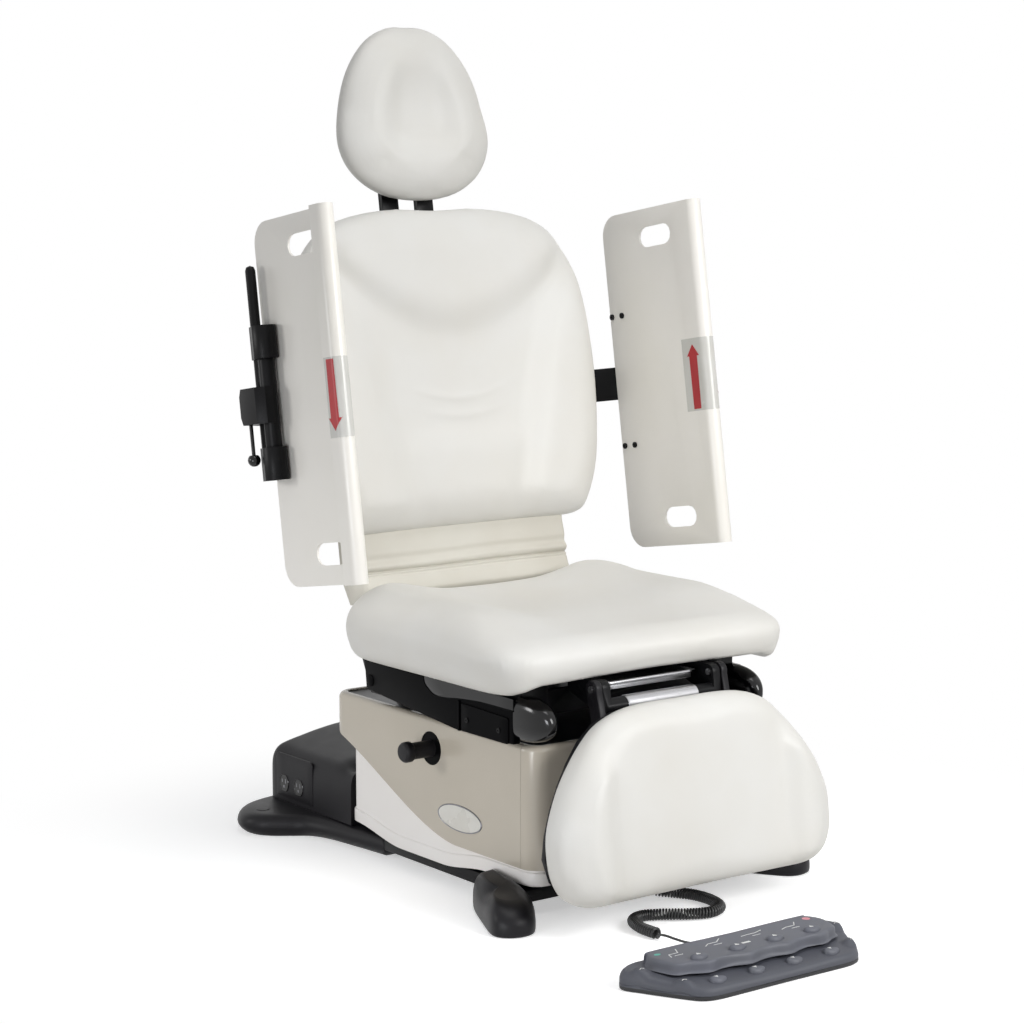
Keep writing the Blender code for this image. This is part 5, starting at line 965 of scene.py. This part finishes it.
# Screw heads: one node tree puts a head with a hexagon recess at each point, facing out
def screwTree():
    tree = bpy.data.node_groups.new("screwHeads", "GeometryNodeTree")
    face = tree.interface
    face.new_socket("Geometry", in_out="INPUT", socket_type="NodeSocketGeometry")
    for name in ("Radius", "Height", "Recess"):
        face.new_socket(name, in_out="INPUT", socket_type="NodeSocketFloat")
    face.new_socket("Finish", in_out="INPUT", socket_type="NodeSocketMaterial")
    face.new_socket("Geometry", in_out="OUTPUT", socket_type="NodeSocketGeometry")
    given = addNode(tree, "NodeGroupInput")
    head = addNode(tree, "GeometryNodeMeshCylinder", {"Vertices": 28},
                   {"Radius": (given, "Radius"), "Depth": (given, "Height")})
    hexagon = addNode(tree, "GeometryNodeMeshCylinder", {"Vertices": 6},
                      {"Radius": (given, "Recess"), "Depth": (given, "Height")})
    raised = addNode(tree, "ShaderNodeMath", {"operation": "MULTIPLY"}, {0: (given, "Height")})
    raised.inputs[1].default_value = 0.6
    up = addNode(tree, "ShaderNodeCombineXYZ", None, {"Z": (raised, "Value")})
    lifted = addNode(tree, "GeometryNodeTransform", None,
                     {"Geometry": (hexagon, "Mesh"), "Translation": (up, "Vector")})
    cut = addNode(tree, "GeometryNodeMeshBoolean", {"operation": "DIFFERENCE"},
                  {"Mesh 1": (head, "Mesh"), "Mesh 2": (lifted, "Geometry")})
    out = addNode(tree, "GeometryNodeInputNamedAttribute", {"data_type": "FLOAT_VECTOR", "Name": "facing"})
    turn = addNode(tree, "FunctionNodeAlignRotationToVector", {"axis": "Z"}, {"Vector": (out, "Attribute")})
    place = addNode(tree, "GeometryNodeInstanceOnPoints", None,
                    {"Points": (given, "Geometry"), "Instance": (cut, "Mesh"),
                     "Rotation": (turn, "Rotation")})
    real = addNode(tree, "GeometryNodeRealizeInstances", None, {"Geometry": (place, "Instances")})
    paint = addNode(tree, "GeometryNodeSetMaterial", None,
                    {"Geometry": (real, "Geometry"), "Material": (given, "Finish")})
    addNode(tree, "NodeGroupOutput", None, {"Geometry": (paint, "Geometry")})
    return tree


screws = screwTree()


def placeScrews(name, body, spots, radius, height, recess, finish):
    mesh = bpy.data.meshes.new(name)
    mesh.from_pydata([tuple(spot) for spot, out in spots], [], [])
    outward = mesh.attributes.new("facing", "FLOAT_VECTOR", "POINT")
    for place, (spot, out) in enumerate(spots):
        outward.data[place].vector = out
    obj = inScene(name, mesh)
    grow = obj.modifiers.new("Screws", "NODES")
    grow.node_group = screws
    values = {"Radius": radius, "Height": height, "Recess": recess, "Finish": finishes[finish]}
    for item in screws.interface.items_tree:
        if item.in_out == "INPUT" and item.name in values:
            grow[item.identifier] = values[item.name]
    made = shownMesh(obj)
    removeObject(obj)
    addPiece(name, smoothed(made, 35.0), finish, body)


# Rail screws, and a plain film with an arrow on both faces round each rail's rolled edge
rail = {
    "face": 0.407, "flat": 0.272, "roll": 0.0165, "back": 0.249, "from": 0.222, "low": 0.3225,
    "high": 0.4635,
    "screws": ((0.018, 0.530), (0.049, 0.530), (0.021, 0.270), (0.052, 0.270))}
arrow = {
    "half": 0.0185, "shaft": 0.0115, "neck": 0.023, "slant": 0.024,
    "faces": (("In", 0.326, 0.452), ("Out", 0.460, 0.334))}


def wrapPoint(sign, along, up, lift):
    straight = rail["flat"] - rail["from"]
    bend = math.pi * rail["roll"]
    if along < straight:
        x, ahead = rail["face"] - lift, rail["from"] + along
    elif along < straight + bend:
        turn = math.pi - (along - straight) / rail["roll"]
        x = rail["face"] + rail["roll"] + (rail["roll"] + lift) * math.cos(turn)
        ahead = rail["flat"] + (rail["roll"] + lift) * math.sin(turn)
    else:
        x, ahead = rail["face"] + 2.0 * rail["roll"] + lift, rail["flat"] - (along - straight - bend)
    return backFrame @ Vector((sign * x, -ahead, up))


# A film made of columns along the wrap, each with its own low and high end
def wrapFilm(sign, columns, lift, thick):
    body = bmesh.new()
    for (alongA, lowA, highA), (alongB, lowB, highB) in zip(columns, columns[1:]):
        corners = [(alongA, lowA), (alongB, lowB), (alongB, highB), (alongA, highA)]
        body.faces.new([body.verts.new(wrapPoint(sign, along, up, lift)) for along, up in corners])
    bmesh.ops.remove_doubles(body, verts=body.verts, dist=1e-6)
    bmesh.ops.recalc_face_normals(body, faces=body.faces)
    bmesh.ops.solidify(body, geom=body.faces[:], thickness=thick)
    return meshFrom(body, None, 50.0)


def makeRailMarks():
    straight = rail["flat"] - rail["from"]
    ends = straight + math.pi * rail["roll"] + rail["flat"] - rail["back"]
    middles = {"In": straight - 0.0190, "Out": ends - 0.0200}
    for side, sign in bothSides:
        body = "rail_" + side.lower()
        columns = [(along, rail["low"], rail["high"]) for along in np.linspace(0.0, ends - 0.002, 60)]
        addPiece("labelFilm" + side, wrapFilm(sign, columns, 0.0003, 0.0002), "labelFilm", body)
        for face, tail, tip in arrow["faces"]:
            way = 1.0 if tip > tail else -1.0
            columns = []
            for across in np.linspace(-arrow["half"], arrow["half"], 38):
                near = abs(across)
                start = tail if near < arrow["shaft"] else tip - way * arrow["neck"]
                end = tip - way * arrow["slant"] * near / arrow["half"]
                columns.append((middles[face] + across, min(start, end), max(start, end)))
            addPiece("labelArrow" + face + side, wrapFilm(sign, columns, 0.0005, 0.0001), "redInk", body)
        out = backFrame.to_3x3() @ Vector((-sign, 0.0, 0.0))
        spots = [(backFrame @ Vector((sign * (rail["face"] - 0.0010), -ahead, up)), out)
                 for ahead, up in rail["screws"]]
        placeScrews("railScrews" + side, body, spots, 0.0058, 0.0040, 0.0024, "blackSteel")


makeRailMarks()


# Rear of the back: two pressed ribs and the screws round the plate
rearPlate = {
    "face": 0.0778, "rib": (0.128, 0.100, 0.590, 0.012),
    "ribEdge": [(0.0, -0.0005), (0.0005, 0.0004), (0.0020, 0.0018), (0.0040, 0.0026), (0.0062, 0.0029)],
    "screws": ((0.182, 0.060), (0.182, 0.270), (0.182, 0.480), (0.182, 0.660), (0.075, 0.048))}


def makeBackRear():
    toRear = backFrame @ Matrix(((1, 0, 0, 0), (0, 0, 1, rearPlate["face"]), (0, 1, 0, 0), (0, 0, 0, 1)))
    out = backFrame.to_3x3() @ Vector((0.0, 1.0, 0.0))
    x, low, high, radius = rearPlate["rib"]
    spots = []
    for side, sign in bothSides:
        outline = arc(sign * x, high, radius, 0.0, 15.0, 13) + arc(sign * x, low, radius, 180.0, 15.0, 13)
        rib = mouldedBody(outline, (sign * x, (low + high) / 2.0), rearPlate["ribEdge"], None, 2)
        addPiece("backRib" + side, meshFrom(rib, toRear), "blackSteel", "back")
        spots += [(toRear @ Vector((sign * across, up, 0.0010)), out) for across, up in rearPlate["screws"]]
    placeScrews("backScrews", "back", spots, 0.0062, 0.0042, 0.0026, "zincScrew")


makeBackRear()


# Side covers: a screwed clip panel and a round cap on each
clip = {
    "rear": -0.010, "front": -0.148, "low": 0.3035, "high": 0.354, "face": 0.262, "thick": 0.0030,
    "corner": 0.005,
    "screws": ((-0.028, 0.3256), (-0.122, 0.3240)),
    "cap": (0.281, 0.347, 0.0115)}


def makeClips():
    rear, front, low, high, thick = (clip[name] for name in ("rear", "front", "low", "high", "thick"))
    knots = [Vector((rear, low)), Vector((rear, high)), Vector((front, high - 0.004)), Vector((front, low))]
    corners = []
    for place, here in enumerate(knots):
        before = (knots[place - 1] - here).normalized() * clip["corner"]
        after = (knots[(place + 1) % 4] - here).normalized() * clip["corner"]
        corners += [tuple(here + before * (1.0 - share) ** 2 + after * share ** 2)
                    for share in np.linspace(0.0, 1.0, 6)]
    edge = [(0.0, -0.001), (0.0, thick - 0.0012), (0.0004, thick - 0.0004), (0.0012, thick)]
    y, z, radius = clip["cap"]
    capEdge = [(0.0, -0.001), (radius, -0.001), (radius, 0.0006), (radius - 0.0008, 0.0012), (0.0, 0.0013)]
    for side, sign in bothSides:
        plate = mouldedBody(corners, ((rear + front) / 2.0, (low + high) / 2.0), edge, None, 3)
        addPiece("clipPanel" + side, meshFrom(plate, onSide(sign, clip["face"])), "satinBlack", "seat")
        spots = [(Vector((sign * (clip["face"] + thick + 0.0002), along, up)), (sign, 0.0, 0.0))
                 for along, up in clip["screws"]]
        placeScrews("clipScrews" + side, "seat", spots, 0.0046, 0.0026, 0.0022, "blackSteel")
        cap = meshFrom(turned(capEdge), onSide(sign, clip["face"], y, z))
        addPiece("sideCap" + side, cap, "satinBlack", "seat")


makeClips()


# A hand hollow with a beaded edge, and a rib, on each side cover
hollow = {
    "edge": [(0.1090, 0.3860), (0.1055, 0.3705), (0.0906, 0.3600), (0.0733, 0.3535), (0.0412, 0.3540),
        (-0.0015, 0.3590), (-0.0643, 0.3635), (-0.1372, 0.3640), (-0.1600, 0.3640)],
    "top": 0.3885, "bead": 0.0013, "middle": (-0.03, 0.376),
    "panelEdge": [(0.0, -0.0006), (0.0, 0.0003), (0.0004, 0.0004)],
    "rib": (-0.0030, 0.3025, 0.3570, 0.0022),
    "ribEdge": [(0.0, -0.0006), (0.0, 0.0030), (0.0004, 0.0038), (0.0010, 0.0040)]}


def makeHollows():
    edge = evenPoints(curveThrough([(y, z, 0.0) for y, z in hollow["edge"]], 10), 60)
    loop = edge + [(edge[-1].x, hollow["top"] - 0.004), (edge[0].x, hollow["top"])]
    y, low, high, half = hollow["rib"]
    corners = [(y - half, low), (y + half, low), (y + half, high), (y - half, high)]
    for side, sign in bothSides:
        toSide = onSide(sign, clip["face"])
        panel = mouldedBody(loop, hollow["middle"], hollow["panelEdge"], None, 3)
        addPiece("sideHollow" + side, meshFrom(panel, toSide), "glossBlack", "seat")
        path = [Vector((sign * (clip["face"] + 0.0002), point.x, point.y)) for point in edge]
        bead = tube(path, hollow["bead"], (1, 0, 0), 12)
        addPiece("hollowBead" + side, meshFrom(bead), "satinBlack", "seat")
        rib = mouldedBody(corners, (y, (low + high) / 2.0), hollow["ribEdge"], None, 2)
        addPiece("sideRib" + side, meshFrom(rib, toSide), "satinBlack", "seat")


makeHollows()

# Bright sleeve on the cross tube, and the pan's rolled front edge
tubeMiddle = footFrame @ Vector((0.0, 0.0610, -0.009))
sleeve = turned([(0.0, -0.080), (0.0150, -0.080), (0.0165, -0.0785), (0.0165, 0.0785),
                 (0.0150, 0.080), (0.0, 0.080)])
addPiece("tubeSleeve", meshFrom(sleeve, onSide(1.0, 0.0, tubeMiddle.y, tubeMiddle.z)), "brightSteel", "seat")
panRim = {"half": 0.1000, "front": -0.2140, "rear": 0.080, "z": 0.4010, "radius": 0.0036, "corner": 0.014}


def makePanRim():
    half, front, corner = panRim["half"], panRim["front"], panRim["corner"]
    path = [(-half, panRim["rear"])] + arc(-half + corner, front + corner, corner, 180.0, 11.25, 9)
    path += arc(half - corner, front + corner, corner, 270.0, 11.25, 9) + [(half, panRim["rear"])]
    edge = tube([Vector((x, y, panRim["z"])) for x, y in path], panRim["radius"], (0.0, 0.0, 1.0))
    addPiece("panRim", meshFrom(edge), "brightSteel", "pan")


makePanRim()
print("rails, side covers and pan")


# Foot control: a moulded wedge with a deck whose front edge runs round four domes
control = {
    "reach": 0.079, "low": 0.020, "slope": 0.012, "deckFront": -0.031, "deckTop": 0.0474,
    "places": [(place - 1.5) * 0.082 for place in range(4)],
    "rows": {"front": -0.054, "rear": -0.008},
    "bosses": ((-0.211, 0.030), (-0.183, -0.040), (0.209, 0.026), (0.181, -0.042)),
    "long": 0.034, "wide": 0.022,
    "outline": [(0.0, -0.079), (0.100, -0.079), (0.138, -0.0785), (0.162, -0.0735), (0.178, -0.0600),
        (0.200, -0.022), (0.222, 0.0200), (0.235, 0.0470), (0.2285, 0.0640), (0.205, 0.0760),
        (0.170, 0.079), (0.0, 0.079)],
    "deckSide": [(0.172, -0.012), (0.181, 0.010), (0.186, 0.036), (0.174, 0.061), (0.146, 0.067)],
    "collar": [(0.0, 0.0), (0.0060, 0.0), (0.0060, 0.010), (0.0050, 0.012), (0.0050, 0.020),
        (0.0040, 0.0242), (0.0, 0.0242)],
    "dome": [(0.0, -0.0035), (0.0, 0.0004), (0.0006, 0.0026), (0.0018, 0.0045), (0.0036, 0.0058),
        (0.0060, 0.0066), (0.0090, 0.0070)],
    "edge": [(0.0025, 0.0), (0.0008, 0.0010), (0.0, 0.0030), (0.0, 0.0062), (0.0011, 0.0067),
        (0.0011, 0.0075), (0.0002, 0.0080), (0.0003, 0.0120), (0.0017, 0.0152), (0.0042, 0.0178),
        (0.0078, 0.0193), (0.0125, 0.0199), (0.0170, 0.0200)],
    "deckEdge": [(-0.0050, 0.0296), (-0.0026, 0.0306), (-0.0009, 0.0328), (0.0, 0.0360), (0.0004, 0.0415),
        (0.0014, 0.0447), (0.0034, 0.0466), (0.0066, 0.0474)]}


def controlTop(y):
    return control["low"] + control["slope"] * (y / 0.158 + 0.5)


def domeOutline(x, y, grow):
    points = []
    for turn in turns(48):
        taper = 1.0 - 0.42 * max(math.cos(turn), 0.0)
        points.append((x + (control["long"] / 2.0 + grow) * math.cos(turn),
                       y + (control["wide"] / 2.0 + grow) * math.sin(turn) * taper))
    return points


def cutPockets(mesh, row, surface):
    tool = bmesh.new()
    y = control["rows"][row]
    for x in control["places"]:
        depth = [(0.0, surface - 0.0062), (0.0, surface + 0.020)]
        addTo(tool, mouldedBody(domeOutline(x, y, 0.0005), (x, y), depth, None, 1))
    cutter = inScene("pockets", meshFrom(tool))
    made = modified(mesh, "BOOLEAN", operation="DIFFERENCE", solver="EXACT", object=cutter)
    removeObject(cutter)
    made.transform(controlFrame)
    return smoothed(made, 42.0)


def caseRelief(x, y):
    lift = controlTop(y) - control["low"]
    for bossX, bossY in control["bosses"]:
        away = np.sqrt((x - bossX) ** 2 + (y - bossY) ** 2)
        lift = lift + 0.0080 * (1.0 - smoothStep(0.007, 0.020, away))
    return lift


def makeControl():
    outline = mirroredOutline(control["outline"], 200)
    case = meshFrom(mouldedBody(outline, (0.0, 0.0), control["edge"], caseRelief, 36), None, 60.0)
    surface = float(controlTop(control["rows"]["front"]))
    addPiece("controlCase", cutPockets(case, "front", surface), "darkRubber", "base", ["foot_control_base"])
    toRear = Matrix(((1, 0, 0, 0.024), (0, 0, 1, control["reach"] - 0.003), (0, 1, 0, 0.008), (0, 0, 0, 1)))
    collar = meshFrom(turned(control["collar"], 28), controlFrame @ toRear)
    addPiece("controlCollar", collar, "darkRubber", "base")

    # the deck's front edge runs round the front domes
    front = []
    for x in np.linspace(-0.150, 0.150, 61):
        wave = 0.0035 - 0.0085 * sum(float(bump(x, place + 0.004, 0.022)) for place in control["places"])
        front.append((x, control["deckFront"] + wave + 0.010 * (x / 0.150) ** 4))
    loop = front + control["deckSide"] + [(-x, y) for x, y in reversed(control["deckSide"])]
    outline = evenPoints(curveThrough(loop, 6, True), 260, True)
    deck = meshFrom(mouldedBody(outline, (0.0, 0.018), control["deckEdge"], None, 16), None, 60.0)
    deck = cutPockets(deck, "rear", control["deckTop"])
    addPiece("controlDeck", deck, "greyRubber", "base", ["foot_control_cover"])

    for row, base, point in (("front", surface, -1.0), ("rear", control["deckTop"], 1.0)):
        y = control["rows"][row]
        dome = [(inset, base + height) for inset, height in control["dome"]]
        for place, x in enumerate(control["places"]):

            def lean(px, py, x=x):
                return -0.0014 * (px - x) / 0.017

            key = "%s_%d" % (row, place + 1)
            button = mouldedBody(domeOutline(x, y, 0.0), (x - 0.002, y), dome, lean, 5)
            addPiece("dome_" + key, meshFrom(button, controlFrame, 70.0), "greyRubber", "button_" + key,
                     ["button_" + key])
            triangle = [(x - 0.0080, y - 0.0028 * point), (x + 0.0002, y - 0.0028 * point),
                        (x - 0.0040, y + 0.0036 * point)]
            ink = [(0.0, base + 0.0060), (0.0, base + 0.0077)]
            mark = mouldedBody(triangle, (x - 0.0035, y), ink, None, 1)
            addPiece("domeMark_" + key, meshFrom(mark, controlFrame), "whiteInk", "button_" + key)


# Printed marks: plain strokes of a couch at four angles, a blank tab and two spots of colour
marks = {
    "couches": ((-0.140, 0.032, 62.0, 70.0), (-0.052, 0.038, 38.0, 35.0), (0.032, 0.038, 18.0, 8.0),
        (0.112, 0.030, 50.0, 20.0)),
    "spots": (("tealMark", "tealInk", -0.1665, 0.044, 0.0062, 0.0040),
        ("pinkMark", "pinkInk", 0.160, 0.046, 0.0070, 0.0070))}


def makeControlMarks():
    strokes = bmesh.new()

    def stroke(points, width, height):
        for first, second in zip(points, points[1:]):
            ahead = (Vector(second) - Vector(first)).normalized() * width / 2.0
            side = Vector((-ahead.y, ahead.x))
            start, end = Vector(first) - ahead, Vector(second) + ahead
            corners = [start + side, end + side, end - side, start - side]
            ink = [(0.0, height - 0.0004), (0.0, height + 0.00025)]
            addTo(strokes, mouldedBody(corners, tuple((start + end) / 2.0), ink, None, 1))

    top = control["deckTop"]
    for x, y, back, leg in marks["couches"]:
        back, leg = math.radians(back), math.radians(leg)
        knee, hip = (x - 0.013, y), (x + 0.006, y)
        foot = (knee[0] - 0.013 * math.cos(leg), y - 0.013 * math.sin(leg))
        head = (hip[0] + 0.018 * math.cos(back), y + 0.018 * math.sin(back))
        stroke([foot, knee, hip, head], 0.0015, top)
        stroke([(x - 0.008, y - 0.010), (x + 0.008, y - 0.010)], 0.0013, top)
    stroke([(-0.015, 0.008), (-0.003, 0.008)], 0.0055, top)
    for x, y in control["bosses"]:
        height = float(controlTop(y)) + 0.0081
        stroke([(x - 0.004, y - 0.001), (x + 0.001, y + 0.002), (x + 0.004, y - 0.001)], 0.0012, height)
    addPiece("controlMarks", meshFrom(strokes, controlFrame), "whiteInk", "base")
    for name, ink, x, y, wide, high in marks["spots"]:
        layer = [(0.0, top - 0.0004), (0.0, top + 0.0002)]
        spot = mouldedBody(ellipse(x, y, wide, high, 32), (x, y), layer, None, 2)
        addPiece(name, meshFrom(spot, controlFrame), ink, "base")


makeControl()
makeControlMarks()
print("foot control")


# The camera, reflections and clear pieces see the white studio; other rays see its soft light
def seenRays(tree):
    path = addNode(tree, "ShaderNodeLightPath")
    shiny = addNode(tree, "ShaderNodeMath", {"operation": "MAXIMUM"},
                    {0: (path, "Is Glossy Ray"), 1: (path, "Is Transmission Ray")})
    return addNode(tree, "ShaderNodeMath", {"operation": "MAXIMUM"},
                   {0: (path, "Is Camera Ray"), 1: (shiny, 0)})


# Floor and light: a plain pale floor that shows white and keeps the shadow
stage = {
    "half": 30.0, "level": -0.0005, "floor": "#F0F0F0", "glow": 0.47, "fade": (0.50, 1.3),
    "bounce": "#D4D2CE", "sky": "#F4F6FA", "skyStrength": 0.22}
# Each lamp has a place, a target, a size, a power, a colour and a spread in degrees
lamps = {
    "keyPanel": ((0.8, -3.1, 1.9), (0.0, -0.2, 0.40), 1.6, 30.0, "#FFFFFF", 100.0),
    "sidePanel": ((-3.2, -1.4, 0.40), (-0.25, 0.1, 0.02), 1.0, 4.6, "#F8FAFF", 55.0),
    "rimPanel": ((-2.5, 1.3, 1.1), (-0.2, 0.3, 0.25), 0.6, 3.4, "#FFFFFF", 90.0),
    "topPanel": ((-0.2, -0.5, 3.2), (0.0, -0.1, 0.5), 1.6, 11.0, "#FFFFFF", 110.0)}


def makeFloor():
    half, level = stage["half"], stage["level"]
    mesh = bpy.data.meshes.new("floor")
    corners = [(x, y, level) for x, y in ((-half, -half), (half, -half), (half, half), (-half, half))]
    mesh.from_pydata(corners, [], [(0, 1, 2, 3)])
    paint = bpy.data.materials.new("paleFloor")
    paint.use_nodes = True
    tree = paint.node_tree
    tree.nodes.clear()
    white = hexColour("#FFFFFF")
    matt = addNode(tree, "ShaderNodeBsdfDiffuse", {"Color": hexColour(stage["floor"])})
    glow = addNode(tree, "ShaderNodeEmission", {"Color": white, "Strength": stage["glow"]})
    both = addNode(tree, "ShaderNodeAddShader", None, {0: (matt, 0), 1: (glow, 0)})
    # far from the chair the floor goes to plain white
    plain = addNode(tree, "ShaderNodeEmission", {"Color": white, "Strength": 1.0})
    coords = addNode(tree, "ShaderNodeTexCoord")
    away = addNode(tree, "ShaderNodeVectorMath", {"operation": "LENGTH"}, {"Vector": (coords, "Object")})
    near, gone = stage["fade"]
    far = addNode(tree, "ShaderNodeMapRange",
                  {"From Min": near, "From Max": gone, "interpolation_type": "SMOOTHSTEP"},
                  {"Value": (away, "Value")})
    fade = addNode(tree, "ShaderNodeMixShader", None, {"Fac": (far, "Result"), 1: (both, 0), 2: (plain, 0)})
    bounce = addNode(tree, "ShaderNodeBsdfDiffuse", {"Color": hexColour(stage["bounce"])})
    choose = addNode(tree, "ShaderNodeMixShader", None,
                     {"Fac": (seenRays(tree), "Value"), 1: (bounce, 0), 2: (fade, 0)})
    addNode(tree, "ShaderNodeOutputMaterial", None, {"Surface": (choose, "Shader")})
    mesh.materials.append(paint)
    inScene("floor", mesh)


def makeLight():
    world = bpy.data.worlds.new("studio")
    scene.world = world
    world.use_nodes = True
    tree = world.node_tree
    tree.nodes.clear()
    soft = addNode(tree, "ShaderNodeBackground",
                   {"Color": hexColour(stage["sky"]), "Strength": stage["skyStrength"]})
    white = addNode(tree, "ShaderNodeBackground", {"Color": hexColour("#FFFFFF"), "Strength": 1.0})
    choose = addNode(tree, "ShaderNodeMixShader", None,
                     {"Fac": (seenRays(tree), "Value"), 1: (soft, 0), 2: (white, 0)})
    addNode(tree, "ShaderNodeOutputWorld", None, {"Surface": (choose, "Shader")})
    for name, (place, target, size, power, colour, spread) in lamps.items():
        lamp = inScene(name, bpy.data.lights.new(name, "AREA"))
        lamp.data.shape = "SQUARE"
        lamp.data.size = size
        lamp.data.energy = power
        lamp.data.spread = math.radians(spread)
        lamp.data.color = hexColour(colour)[:3]
        aim(lamp, place, target)


makeFloor()
makeLight()
print("stage set")
